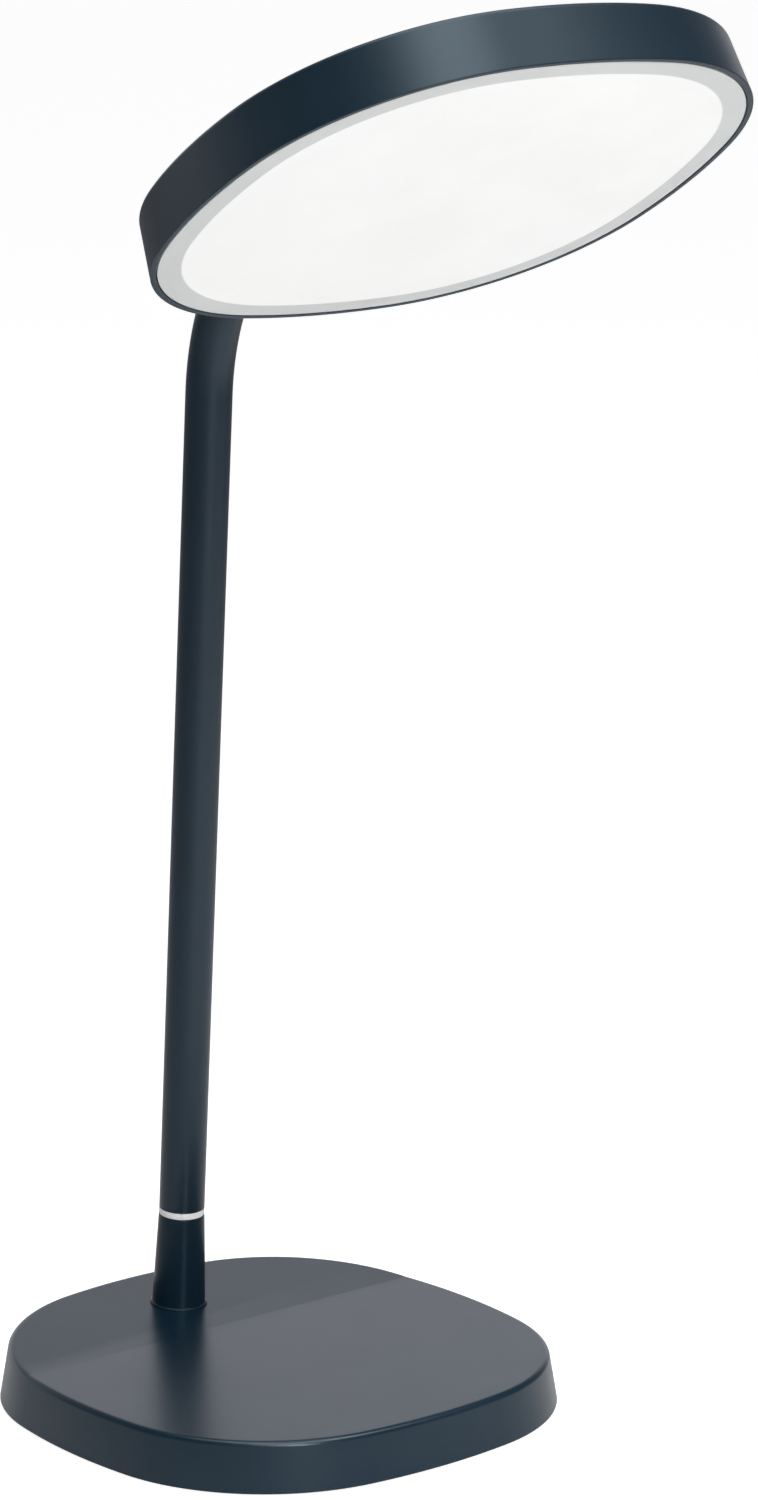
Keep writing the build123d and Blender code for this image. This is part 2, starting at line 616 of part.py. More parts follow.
def stem_path(start, short_of_hinge):
    """Centreline from a height in the collar to a distance short of the hinge."""
    angle = radians(BEND_ANGLE)
    bend_start = Vector(0, 0, STEM_STRAIGHT)
    bend_end = Vector(0, -BEND_R * (1 - cos(angle)), STEM_STRAIGHT + BEND_R * sin(angle))
    half_way = Vector(0, -BEND_R * (1 - cos(angle / 2)), STEM_STRAIGHT + BEND_R * sin(angle / 2))
    run = ARM_LENGTH - short_of_hinge
    arm_end = bend_end + Vector(0, -sin(angle), cos(angle)) * run
    pieces = [
        Line((0, 0, start), bend_start),
        ThreePointArc(bend_start, half_way, bend_end),
        Line(bend_end, arm_end),
    ]
    return Wire([edge for line in pieces for edge in line.edges()])


def stem_tube():
    path = stem_path(TUBE_START, TUBE_END_AT)
    start = Plane(origin=(0, 0, TUBE_START), z_dir=(0, 0, 1))
    outside = sweep(start * Circle(TUBE_D / 2), path)
    inside = sweep(start * Circle(TUBE_D / 2 - TUBE_WALL), path)
    return outside - inside


def stem_lead():
    start_z = STOP_Z - GROOVE_H + LEAD_END_GAP
    path = stem_path(start_z, HINGE_BOLT_R + LEAD_GAP)
    return sweep(Plane(origin=(0, 0, start_z), z_dir=(0, 0, 1)) * Circle(LEAD_R), path)


# ---- hinge and head: in the head's frame, hinge axis on X, the head's back normal on Z


def arm_knuckle():
    """End piece of the tube: a plug, a round shoulder and a flat tongue with the hinge hole."""
    round_part = rod_y(TUBE_D / 2, SHOULDER_AT, TUBE_END_AT)
    round_part = chamfer(round_part.edges().sort_by(Axis.Y)[0], SHOULDER_CHAMFER)
    knuckle = round_part + rod_y(PLUG_R, TUBE_END_AT, TUBE_END_AT + KNUCKLE_PLUG)
    neck = (2 * TONGUE_HALF, SHOULDER_AT + 2 * CUT, 2 * TONGUE_R)
    knuckle += block(neck, (0, neck[1] / 2, -TONGUE_R))
    knuckle += rod_x(TONGUE_R, -TONGUE_HALF, TONGUE_HALF)
    knuckle -= rod_x(HINGE_BOLT_R + RUN_GAP, -TONGUE_HALF - CUT, TONGUE_HALF + CUT)
    return knuckle - rod_y(LEAD_CHANNEL_R, 0, TUBE_END_AT + KNUCKLE_PLUG + CUT)


def friction_washers():
    washer = rod_x(WASHER_R, TONGUE_HALF, TONGUE_HALF + WASHER_T)
    washer -= rod_x(HINGE_BOLT_R + RUN_GAP, 0, EAR_OUT)
    return Compound([washer, mirror(washer, Plane.YZ)])


def hinge_bracket():
    plate = block((*BRACKET_SIZE, BRACKET_T), (0, 0, HEAD_BACK))
    plate = fillet(plate.edges().filter_by(Axis.Z), BRACKET_CORNER_R)
    plate = fillet(plate.edges().group_by(Axis.Z)[-1], BRACKET_EDGE_R)
    inner = TONGUE_HALF + WASHER_T
    ear = rod_x(TONGUE_R, inner, EAR_OUT)
    ear_height = -BRACKET_TOP + CUT
    ear += block((EAR_T, 2 * TONGUE_R, ear_height), (inner + EAR_T / 2, 0, BRACKET_TOP - CUT))
    bracket = plate + ear + mirror(ear, Plane.YZ)
    bracket -= rod_x(HINGE_BOLT_R + SLIP_GAP, -EAR_OUT - CUT, EAR_OUT + CUT)
    bracket -= rod(LEAD_CHANNEL_R, HEAD_BACK - CUT, 0, EAR_MIDDLE)
    for x, y in four(BRACKET_SCREW_AT):
        bracket -= rod(SCREW_R + THREAD_GAP, HEAD_BACK - CUT, BRACKET_TOP - BRACKET_SKIN, x, y)
    return bracket


def bracket_backing():
    top = HEAD_BACK - BACK_T
    size = (BRACKET_SIZE[0] + 2 * BACKING_RIM, BRACKET_SIZE[1] + 2 * BACKING_RIM, BACKING_T)
    plate = block(size, (0, 0, top - BACKING_T))
    plate = fillet(plate.edges().filter_by(Axis.Z), BRACKET_CORNER_R)
    for x, y in four(BRACKET_SCREW_AT):
        plate -= rod(SCREW_R + HOLE_GAP, top - BACKING_T - CUT, top + CUT, x, y)
    return plate - rod(GROMMET_LIP_R + HOLE_GAP, top - BACKING_T - CUT, top + CUT, EAR_MIDDLE)


def lead_grommet():
    """Rubber sleeve that guards the lead where it enters the housing."""
    low = HEAD_BACK - BACK_T - GROMMET_LIP_T
    grommet = rod(GROMMET_R, low, HEAD_BACK, EAR_MIDDLE)
    grommet += rod(GROMMET_LIP_R, low, low + GROMMET_LIP_T, EAR_MIDDLE)
    return grommet - rod(LEAD_R + SLIP_GAP, low - CUT, HEAD_BACK + CUT, EAR_MIDDLE)


def bracket_screws():
    low = HEAD_BACK - BACK_T - BACKING_T - SCREW_HEAD_T
    length = BRACKET_TOP - BRACKET_SKIN - SLIP_GAP - low - SCREW_HEAD_T
    screw = head_screw(SCREW_R, length, SCREW_HEAD_R, SCREW_HEAD_T, SCREW_SOCKET)
    return Compound([Pos(x, y, low) * screw for x, y in four(BRACKET_SCREW_AT)])


def hinge_bolt():
    """Hollow bolt with one slot for the lead from the arm and one down into the ear."""
    end = EAR_OUT + HINGE_NUT_T + BOLT_SPARE
    bolt = rod_x(HINGE_BOLT_R, -EAR_OUT - CUT, end)
    bolt += rod_x(BOLT_HEAD_R, -EAR_OUT - BOLT_HEAD_T, -EAR_OUT)
    bolt -= rod_x(LEAD_CHANNEL_R, -LEAD_CHANNEL_R, end + CUT)
    spread = degrees(atan2(LEAD_CHANNEL_R, HINGE_BOLT_R))
    arc = TILT_DOWN + TILT_UP + 2 * spread
    bolt -= Plane.YZ.location * wedge(HINGE_BOLT_R + CUT, 2 * LEAD_CHANNEL_R, -TILT_DOWN - spread, arc)
    bolt -= rod(LEAD_CHANNEL_R, -HINGE_BOLT_R - CUT, 0, EAR_MIDDLE)
    socket = Rot(0, 90, 0) * hexagon(BOLT_SOCKET, -EAR_OUT - BOLT_HEAD_T - CUT, -EAR_OUT - CUT)
    return bolt - socket


def hinge_nut():
    nut = Rot(0, 90, 0) * hexagon(HINGE_NUT_AF, EAR_OUT, EAR_OUT + HINGE_NUT_T)
    return nut - rod_x(HINGE_BOLT_R + THREAD_GAP, EAR_OUT - CUT, EAR_OUT + HINGE_NUT_T + CUT)


def hinge_caps():
    cap = rod_x(CAP_R, EAR_OUT, EAR_OUT + CAP_H)
    cap = fillet(cap.edges().sort_by(Axis.X)[-1], CAP_EDGE_R)
    cap -= rod_x(CAP_R - CAP_WALL, EAR_OUT - CUT, EAR_OUT + CAP_H - CAP_WALL)
    return Compound([cap, mirror(cap, Plane.YZ)])


def head_housing():
    outside = squircle(HEAD_OUTLINE, 0, HEAD_FRONT, HEAD_BACK, HEAD_DRAFT)
    outside = fillet(outside.edges().group_by(Axis.Z)[-1], BACK_EDGE_R)
    outside = fillet(outside.edges().group_by(Axis.Z)[0], FRONT_EDGE_R)
    room = squircle(HEAD_OUTLINE, RIM, HEAD_FRONT, HEAD_BACK - BACK_T, HEAD_DRAFT)
    housing = outside - room
    for place in around(HEAD_OUTLINE, POST_INSET, FRAME_SCREW_COUNT):
        x, y = place.position.X, place.position.Y
        housing += rod(HEAD_POST_R, CHASSIS_BACK, HEAD_BACK - BACK_T / 2, x, y) & outside
        low = CHASSIS_BACK - CUT
        housing -= rod(FRAME_SCREW_R + THREAD_GAP, low, FRAME_FRONT + FRAME_SCREW_LENGTH + SCREW_STOP, x, y)
    for x, y in four(CONTROL_SCREW_AT):
        housing += rod(HEAD_POST_R, CONTROL_TOP, HEAD_BACK - BACK_T / 2, x, y + BUTTON_Y)
        housing -= rod(SMALL_SCREW_R + THREAD_GAP, CONTROL_TOP - CUT, CONTROL_TOP + 4, x, y + BUTTON_Y)
    for x in button_places():
        housing -= rod(BUTTON_R + BUTTON_GAP, HEAD_BACK - BACK_T - CUT, HEAD_BACK + CUT, x, BUTTON_Y)
    for x, y in four(BRACKET_SCREW_AT):
        housing -= rod(SCREW_R + HOLE_GAP, HEAD_BACK - BACK_T - CUT, HEAD_BACK + CUT, x, y)
    return housing - rod(GROMMET_R + SLIP_GAP, HEAD_BACK - BACK_T - CUT, HEAD_BACK + CUT, EAR_MIDDLE)


def diffuser():
    low = HEAD_FRONT + DIFFUSER_SET_BACK
    inset = RIM + DIFFUSER_GAP + DIFFUSER_T * tan(radians(HEAD_DRAFT))
    return squircle(HEAD_OUTLINE, inset, low, FRAME_FRONT)


def light_frame():
    """White frame that holds the light guide and shades the border of the diffuser."""
    frame = squircle_ring(HEAD_OUTLINE, FRAME_INSET, WINDOW_INSET, FRAME_FRONT, GUIDE_FRONT)
    frame += squircle_ring(HEAD_OUTLINE, FRAME_INSET, STRIP_INSET, GUIDE_FRONT, CHASSIS_FRONT)
    for place in around(HEAD_OUTLINE, POST_INSET, FRAME_SCREW_COUNT):
        x, y = place.position.X, place.position.Y
        frame -= rod(FRAME_SCREW_R + HOLE_GAP, FRAME_FRONT - CUT, CHASSIS_FRONT + CUT, x, y)
        frame -= rod(FRAME_HEAD_R + THREAD_GAP, FRAME_FRONT - CUT, FRAME_FRONT + SMALL_HEAD_T, x, y)
    return frame


def frame_screws():
    length = FRAME_SCREW_LENGTH - SMALL_HEAD_T
    screw = head_screw(FRAME_SCREW_R, length, FRAME_HEAD_R, SMALL_HEAD_T, SMALL_SOCKET)
    places = around(HEAD_OUTLINE, POST_INSET, FRAME_SCREW_COUNT)
    return Compound([Pos(p.position.X, p.position.Y, FRAME_FRONT) * screw for p in places])


def light_guide():
    return squircle(HEAD_OUTLINE, WINDOW_INSET - GUIDE_LAP, GUIDE_FRONT, REFLECTOR_FRONT)


def reflector_sheet():
    return squircle(HEAD_OUTLINE, STRIP_INSET + STRIP_T, REFLECTOR_FRONT, CHASSIS_FRONT)


def chassis_plate():
    plate = squircle(HEAD_OUTLINE, FRAME_INSET, CHASSIS_FRONT, CHASSIS_BACK)
    for place in around(HEAD_OUTLINE, POST_INSET, FRAME_SCREW_COUNT):
        x, y = place.position.X, place.position.Y
        plate -= rod(FRAME_SCREW_R + HOLE_GAP, CHASSIS_FRONT - CUT, CHASSIS_BACK + CUT, x, y)
    return plate


def led_strip():
    low = GUIDE_FRONT + STRIP_EDGE
    inset = STRIP_INSET + SLIP_GAP
    return squircle_ring(HEAD_OUTLINE, inset, inset + STRIP_T, low, REFLECTOR_FRONT - STRIP_EDGE)


def led_chips():
    middle = (GUIDE_FRONT + REFLECTOR_FRONT - LED_SIZE[2]) / 2
    chip = block(LED_SIZE, (0, LED_SIZE[1] / 2 + 2 * SLIP_GAP, middle))
    places = around(HEAD_OUTLINE, STRIP_INSET + SLIP_GAP + STRIP_T, LED_COUNT)
    return Compound([place * chip for place in places])


def control_board():
    low = CONTROL_TOP - CONTROL_T
    board = block((*CONTROL_SIZE, CONTROL_T), (0, BUTTON_Y, low))
    for x, y in four(CONTROL_SCREW_AT):
        board -= rod(SMALL_SCREW_R + HOLE_GAP, low - CUT, CONTROL_TOP + CUT, x, y + BUTTON_Y)
    return board


def control_board_screws():
    low = CONTROL_TOP - CONTROL_T - SMALL_HEAD_T
    screw = head_screw(SMALL_SCREW_R, CONTROL_T + CONTROL_BITE, SMALL_HEAD_R, SMALL_HEAD_T, SMALL_SOCKET)
    return Compound([Pos(x, y + BUTTON_Y, low) * screw for x, y in four(CONTROL_SCREW_AT)])


def tact_switches():
    switch = block(SWITCH_SIZE, (0, BUTTON_Y, CONTROL_TOP))
    switch += rod(SWITCH_PLUNGER_R, CONTROL_TOP + SWITCH_SIZE[2], SWITCH_TOP, 0, BUTTON_Y)
    return Compound([Pos(x, 0, 0) * switch for x in button_places()])


def driver_parts():
    """Inductor, two capacitors and the driver chip, standing on the control board."""
    row = BUTTON_Y - PARTS_ROW
    inductor = rod(INDUCTOR_R, CONTROL_TOP, CONTROL_TOP + INDUCTOR_H, INDUCTOR_X, row)
    capacitor = rod(CAPACITOR_R, CONTROL_TOP, CONTROL_TOP + CAPACITOR_H, 0, row)
    capacitors = [Pos(x, 0, 0) * capacitor for x in CAPACITOR_X]
    chip = block(CHIP_SIZE, (CHIP_X, row, CONTROL_TOP))
    return Compound([inductor, *capacitors, chip])


def board_connector():
    y = BUTTON_Y + CONTROL_SIZE[1] / 2 - CONNECTOR_SIZE[1] / 2
    return block(CONNECTOR_SIZE, (EAR_MIDDLE, y, CONTROL_TOP))


def head_lead():
    """Lead from inside the hinge bolt, down through the ear and across to the board."""
    x = EAR_MIDDLE
    y_end = BUTTON_Y + CONTROL_SIZE[1] / 2
    z_run = CONTROL_TOP + CONNECTOR_SIZE[2] / 2
    return lead_along([(0, 0, 0), (x, 0, 0), (x, 0, z_run), (x, y_end, z_run)], LEAD_TURN_R)


def button_places():
    """X of the three buttons, in a row across the head's back."""
    return (-BUTTON_PITCH, 0.0, BUTTON_PITCH)


def button_cap():
    """Round key with a retaining flange and a short stem over its switch."""
    face = HEAD_BACK + BUTTON_PROUD
    cap = rod(BUTTON_R, FLANGE_TOP - BUTTON_FLANGE_T, face, 0, BUTTON_Y)
    cap = fillet(cap.edges().group_by(Axis.Z)[-1], BUTTON_EDGE_R)
    cap += rod(BUTTON_R + BUTTON_FLANGE, FLANGE_TOP - BUTTON_FLANGE_T, FLANGE_TOP, 0, BUTTON_Y)
    return cap + rod(BUTTON_STEM_R, BUTTON_END, FLANGE_TOP, 0, BUTTON_Y)


def icon(radius):
    """Engraved ring on a button's face."""
    face = HEAD_BACK + BUTTON_PROUD
    return collar_of(radius, radius - ICON_LINE, face - ICON_DEPTH, face + CUT, 0, BUTTON_Y)


def power_button():
    """On and off: a broken ring with a bar through the gap."""
    face = HEAD_BACK + BUTTON_PROUD
    gap = block((ICON_GAP, 2 * ICON_R, 2 * CUT), (0, BUTTON_Y + ICON_R, face - CUT))
    bar = block((ICON_LINE, ICON_R, 2 * CUT), (0, BUTTON_Y + ICON_BAR_AT, face - ICON_DEPTH))
    return Pos(-BUTTON_PITCH, 0, 0) * (button_cap() - (icon(ICON_R) - gap) - bar)


def brightness_button():
    """Brightness: a ring with eight short rays."""
    face = HEAD_BACK + BUTTON_PROUD
    cap = button_cap() - icon(SUN_R)
    ray = block((ICON_LINE, RAY_LENGTH, 2 * CUT), (0, ICON_R, face - ICON_DEPTH))
    for step in range(RAY_COUNT):
        cap -= Pos(0, BUTTON_Y, 0) * Rot(0, 0, 360 / RAY_COUNT * step) * ray
    return cap


def colour_button():
    """Warm or cool light: a ring filled on one side."""
    face = HEAD_BACK + BUTTON_PROUD
    depth = 2 * CUT
    half_disc = Pos(0, BUTTON_Y, face - ICON_DEPTH + depth / 2) * wedge(ICON_R - ICON_LINE, depth, 90, 180)
    return Pos(BUTTON_PITCH, 0, 0) * (button_cap() - icon(ICON_R) - half_disc)


# ---- every sub-part with the place it is built in

ON_BASE = [
    nonslip_pad, base_pan, base_cover, ballast_plate, base_screws, ballast_screws,
    dc_jack, dc_jack_pin, inlet_board, inlet_board_screws, base_lead,
]
ON_FOOT = [stem_collar, backing_plate, collar_nut, upper_bush, lower_bush, stop_screw]
ON_STEM = [trim_ring, swivel_shaft, swivel_washer, spring_washer, swivel_nut, stem_tube, stem_lead]
ON_HEAD = [
    arm_knuckle, friction_washers, hinge_bracket, bracket_backing, lead_grommet, bracket_screws,
    hinge_bolt, hinge_nut, hinge_caps, head_housing, diffuser, light_frame, frame_screws,
    light_guide, reflector_sheet, chassis_plate, led_strip, led_chips, control_board,
    control_board_screws, tact_switches, driver_parts, board_connector, head_lead,
    power_button, brightness_button, colour_button,
]

os.makedirs("parts", exist_ok=True)
for place, makers in ((WORLD, ON_BASE), (FOOT, ON_FOOT), (STEM, ON_STEM), (HEAD, ON_HEAD)):
    for make in makers:
        export_step(place * make(), f"parts/{make.__name__}.step")
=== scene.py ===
from math import atan2, cos, hypot, pi, radians, sin, sqrt, tan

import bpy
from mathutils import Matrix, Vector


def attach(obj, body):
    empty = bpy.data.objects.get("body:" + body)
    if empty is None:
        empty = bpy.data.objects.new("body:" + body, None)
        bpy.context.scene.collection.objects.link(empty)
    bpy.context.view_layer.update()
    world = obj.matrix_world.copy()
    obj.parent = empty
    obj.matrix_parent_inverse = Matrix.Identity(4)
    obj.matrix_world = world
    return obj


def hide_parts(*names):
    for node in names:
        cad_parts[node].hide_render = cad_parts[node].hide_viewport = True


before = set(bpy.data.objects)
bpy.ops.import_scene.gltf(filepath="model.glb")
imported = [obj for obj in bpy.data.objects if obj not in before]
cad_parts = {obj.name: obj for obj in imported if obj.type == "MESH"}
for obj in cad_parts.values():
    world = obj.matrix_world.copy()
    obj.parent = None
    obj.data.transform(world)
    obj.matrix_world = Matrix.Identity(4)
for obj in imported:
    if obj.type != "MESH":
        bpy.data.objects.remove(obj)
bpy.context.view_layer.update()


# ---- Non-slip pad
# A moulded sheet of soft black rubber, 1.5 mm thick, glued under the pan. Shallow
# rings in its underside keep it from sliding, and its lower edge is rounded.

mm = 0.001
BASE_HALF = 89.7 * mm
BASE_CORNER = 68.3 * mm
BASE_BOW = 210.2 * mm
PAD_THICK = 1.5 * mm
PAD_INSIDE = 7.0 * mm
PAD_EDGE = 0.4 * mm
PAD_SHARP = 60  # degrees
RING_GROOVES = 6
RING_LAND = 3.0 * mm
RING_SLOPE = 0.3 * mm
RING_FLOOR = 1.2 * mm
RING_DEPTH = 0.35 * mm

# How finely every outline is divided, and how near counts as the same place.
SIDE_STEPS = 16
CORNER_STEPS = 28
WELD = 0.0002 * mm
NEAR = 0.01 * mm
LEAST_INSET = 0.0005 * mm
SHARP = 35  # degrees

# Between these two, a noise pattern takes the roughness from its least to its most.
CLOUD_LOW = 0.3
CLOUD_HIGH = 0.95


def new_point(name, spot):
    """A new piece that is one point so far, left in edit mode with the point selected."""
    bpy.ops.object.select_all(action="DESELECT")
    bpy.ops.mesh.primitive_plane_add(size=mm, location=spot)
    piece = bpy.context.object
    piece.name = name
    bpy.ops.object.transform_apply(location=True, rotation=True, scale=True)
    bpy.ops.object.mode_set(mode="EDIT")
    bpy.ops.mesh.select_mode(type="VERT")
    bpy.ops.mesh.select_all(action="SELECT")
    bpy.ops.mesh.merge(type="CENTER")
    return piece


def outline_centre(half, corner, bow):
    """Where the corner arcs of a rounded square have their centres, along X and along Y."""
    reach = bow - half
    return (sqrt(2 * (bow - corner) ** 2 - reach ** 2) - reach) / 2


def rounded_square(name, half, corner, bow, inside, height, down=False):
    """A flat face with four bowed sides and four round corners, selected in edit mode."""
    reach = bow - half
    centre = outline_centre(half, corner, bow)
    side_half = atan2(centre, centre + reach)
    corner_turn = pi / 2 - 2 * side_half
    bow, corner = bow - inside, corner - inside
    start = Vector((bow * cos(side_half) - reach, -bow * sin(side_half), height))
    piece = new_point(name, start)
    for quarter in range(4):
        turn = Matrix.Rotation(quarter * pi / 2, 3, "Z")
        side_middle = turn @ Vector((-reach, 0, height))
        corner_middle = turn @ Vector((centre, centre, height))
        bpy.ops.mesh.spin(
            steps=SIDE_STEPS, angle=-2 * side_half, center=side_middle, axis=(0, 0, 1))
        bpy.ops.mesh.spin(
            steps=CORNER_STEPS, angle=-corner_turn, center=corner_middle, axis=(0, 0, 1))
    bpy.ops.mesh.select_all(action="SELECT")
    bpy.ops.mesh.remove_doubles(threshold=NEAR)
    bpy.ops.mesh.edge_face_add()
    bpy.ops.object.mode_set(mode="OBJECT")
    wrong_way = (piece.data.polygons[0].normal.z > 0) == down
    bpy.ops.object.mode_set(mode="EDIT")
    bpy.ops.mesh.select_mode(type="FACE")
    bpy.ops.mesh.select_all(action="SELECT")
    if wrong_way:
        bpy.ops.mesh.flip_normals()
    return piece


def step(inward, along):
    """Carries the selected face inward, and forward along its own normal."""
    bpy.ops.mesh.inset(thickness=max(inward, LEAST_INSET), depth=along, use_even_offset=True)


def round_over(radius, steps=6):
    """Rounds an upright wall over into the selected face."""
    turn = pi / 2 / steps
    for k in range(steps):
        a, b = k * turn, (k + 1) * turn
        step(radius * (cos(a) - cos(b)), radius * (sin(b) - sin(a)))


def pick(piece, kind, wanted):
    """Selects the faces, edges or points that pass a test on their centre, ends or place."""
    bpy.ops.mesh.select_mode(type=kind)
    bpy.ops.mesh.select_all(action="DESELECT")
    bpy.ops.object.mode_set(mode="OBJECT")
    points = piece.data.vertices
    if kind == "FACE":
        for face in piece.data.polygons:
            face.select = wanted(face.center, face.normal)
    elif kind == "EDGE":
        for edge in piece.data.edges:
            edge.select = wanted(points[edge.vertices[0]].co, points[edge.vertices[1]].co)
    else:
        for point in points:
            point.select = wanted(point.co)
    bpy.ops.object.mode_set(mode="EDIT")


def close_back(piece, height):
    """Fills the open outline at that height."""
    pick(piece, "EDGE", lambda a, b: abs(a.z - height) < NEAR and abs(b.z - height) < NEAR)
    bpy.ops.mesh.edge_face_add()


def lay_in_place(piece, place):
    """Puts a place into the mesh, so that the object itself stays at the origin."""
    bpy.ops.object.select_all(action="DESELECT")
    piece.select_set(True)
    bpy.context.view_layer.objects.active = piece
    piece.matrix_world = place
    bpy.ops.object.transform_apply(location=True, rotation=True, scale=True)


def finish_mesh(piece, place=None, sharp=SHARP):
    """Merges, turns the faces outwards, smooths, and puts the place into the mesh."""
    bpy.ops.mesh.select_all(action="SELECT")
    bpy.ops.mesh.remove_doubles(threshold=WELD)
    bpy.ops.mesh.normals_make_consistent(inside=False)
    bpy.ops.object.mode_set(mode="OBJECT")
    smooth_faces(piece, sharp)
    if place is not None:
        lay_in_place(piece, place)


def smooth_faces(piece, sharp=SHARP):
    """Smooth shading up to the sharp edges, with large faces kept flat."""
    bpy.ops.object.select_all(action="DESELECT")
    piece.select_set(True)
    bpy.context.view_layer.objects.active = piece
    bpy.ops.object.shade_smooth_by_angle(angle=radians(sharp), keep_sharp_edges=True)
    weights = piece.modifiers.new("flat faces stay flat", "WEIGHTED_NORMAL")
    weights.keep_sharp = True
    bpy.ops.object.modifier_apply(modifier=weights.name)


def new_material(name, roughness, metallic=0.0):
    """A material with its shader, ready for the nodes that vary it."""
    material = bpy.data.materials.new(name)
    material.use_nodes = True
    shader = material.node_tree.nodes["Principled BSDF"]
    shader.inputs["Roughness"].default_value = roughness
    shader.inputs["Metallic"].default_value = metallic
    return material


def noise(material, size, detail=2.0, stretch=(1, 1, 1)):
    """Cloudy noise with blotches of that size, on the piece's own coordinates."""
    nodes, links = material.node_tree.nodes, material.node_tree.links
    place = nodes.new("ShaderNodeTexCoord")
    turn = nodes.new("ShaderNodeMapping")
    turn.inputs["Scale"].default_value = stretch
    cloud = nodes.new("ShaderNodeTexNoise")
    cloud.inputs["Scale"].default_value = 1 / size
    cloud.inputs["Detail"].default_value = detail
    links.new(place.outputs["Object"], turn.inputs["Vector"])
    links.new(turn.outputs["Vector"], cloud.inputs["Vector"])
    return cloud.outputs["Fac"]


def carry_over(nodes, low, high, new_low, new_high):
    """A node that carries one range of numbers over to another."""
    node = nodes.new("ShaderNodeMapRange")
    node.inputs["From Min"].default_value = low
    node.inputs["From Max"].default_value = high
    node.inputs["To Min"].default_value = new_low
    node.inputs["To Max"].default_value = new_high
    return node


def roughen(material, pattern, low, high):
    """Lets a pattern move the shader's roughness between two values."""
    nodes, links = material.node_tree.nodes, material.node_tree.links
    spread = carry_over(nodes, CLOUD_LOW, CLOUD_HIGH, low, high)
    links.new(pattern, spread.inputs["Value"])
    links.new(spread.outputs["Result"], nodes["Principled BSDF"].inputs["Roughness"])


def blend_colours(material, pattern, first, second, low=0.3, high=0.7):
    """A colour that goes from the first to the second with the pattern."""
    nodes, links = material.node_tree.nodes, material.node_tree.links
    ramp = nodes.new("ShaderNodeValToRGB")
    ramp.color_ramp.elements[0].position = low
    ramp.color_ramp.elements[0].color = (*first, 1)
    ramp.color_ramp.elements[1].position = high
    ramp.color_ramp.elements[1].color = (*second, 1)
    links.new(pattern, ramp.inputs["Fac"])
    return ramp.outputs["Color"]


def colour_with(material, colour):
    """Gives the shader its colour from another node."""
    nodes, links = material.node_tree.nodes, material.node_tree.links
    links.new(colour, nodes["Principled BSDF"].inputs["Base Color"])


def relief(material, pattern, height, strength):
    """Raises the pattern on the surface by that height."""
    nodes, links = material.node_tree.nodes, material.node_tree.links
    bump = nodes.new("ShaderNodeBump")
    bump.inputs["Strength"].default_value = strength
    bump.inputs["Distance"].default_value = height
    links.new(pattern, bump.inputs["Height"])
    links.new(bump.outputs["Normal"], nodes["Principled BSDF"].inputs["Normal"])


def finish_in(piece, material):
    """Gives a new piece its one finish."""
    piece.data.materials.clear()
    piece.data.materials.append(material)


rubber = new_material("black_rubber", 0.8)
colour_with(rubber, blend_colours(
    rubber, noise(rubber, 5 * mm), (0.012, 0.012, 0.013), (0.020, 0.020, 0.021)))
roughen(rubber, noise(rubber, 1.5 * mm), 0.72, 0.9)
relief(rubber, noise(rubber, 0.25 * mm, 4.0), 0.03 * mm, 0.6)

pad = rounded_square(
    "pad", BASE_HALF, BASE_CORNER, BASE_BOW, PAD_INSIDE, PAD_THICK, down=True)
step(0, PAD_THICK - PAD_EDGE)
round_over(PAD_EDGE)
for ring in range(RING_GROOVES):
    step(RING_LAND, 0)
    step(RING_SLOPE, -RING_DEPTH)
    step(RING_FLOOR, 0)
    step(RING_SLOPE, RING_DEPTH)
close_back(pad, PAD_THICK)
finish_mesh(pad, sharp=PAD_SHARP)
finish_in(pad, rubber)
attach(pad, "base")
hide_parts("nonslip_pad")


# ---- Pan, leads and circuit boards
# The pan is a flat black moulding that closes the base from below, and the inlet is
# black too. The boards have a white solder resist, and the leads a soft black sleeve.

TRACKS_PER_METRE = 180
TRACK_GAP = 0.05


def dress(names, material):
    """Gives the carried-over pieces their finish."""
    for name in names:
        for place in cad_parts[name].material_slots:
            place.material = material


black_moulding = new_material("black_moulding", 0.5)
colour_with(black_moulding, blend_colours(
    black_moulding, noise(black_moulding, 20 * mm), (0.010, 0.010, 0.011), (0.016, 0.016, 0.017)))
roughen(black_moulding, noise(black_moulding, 4 * mm), 0.42, 0.58)
relief(black_moulding, noise(black_moulding, 0.35 * mm, 3.0), 0.02 * mm, 0.5)
dress(["base_pan", "dc_jack", "board_connector"], black_moulding)

lead_sleeve = new_material("lead_sleeve", 0.55)
colour_with(lead_sleeve, blend_colours(
    lead_sleeve, noise(lead_sleeve, 6 * mm), (0.014, 0.014, 0.015), (0.022, 0.022, 0.023)))
roughen(lead_sleeve, noise(lead_sleeve, 2 * mm), 0.48, 0.64)
relief(lead_sleeve, noise(lead_sleeve, 0.4 * mm), 0.01 * mm, 0.4)
dress(["base_lead", "stem_lead", "head_lead"], lead_sleeve)

board = new_material("white_board", 0.35)
nodes, links = board.node_tree.nodes, board.node_tree.links
place = nodes.new("ShaderNodeTexCoord")
tracks = nodes.new("ShaderNodeTexBrick")
tracks.inputs["Scale"].default_value = TRACKS_PER_METRE
tracks.inputs["Mortar Size"].default_value = TRACK_GAP
tracks.inputs["Color1"].default_value = (0.62, 0.64, 0.62, 1)
tracks.inputs["Color2"].default_value = (0.70, 0.72, 0.70, 1)
tracks.inputs["Mortar"].default_value = (0.50, 0.53, 0.50, 1)
links.new(place.outputs["Object"], tracks.inputs["Vector"])
colour_with(board, tracks.outputs["Color"])
roughen(board, noise(board, 3 * mm), 0.3, 0.42)
relief(board, tracks.outputs["Fac"], 0.02 * mm, 0.5)
dress(["inlet_board", "control_board", "led_strip"], board)


# ---- Ballast, fasteners and contact
# The ballast is a zinc-plated steel plate, and the screws, nuts, washers, backing
# plates, shaft and hinge bolt are plated too. The inlet's centre contact is plated brass.

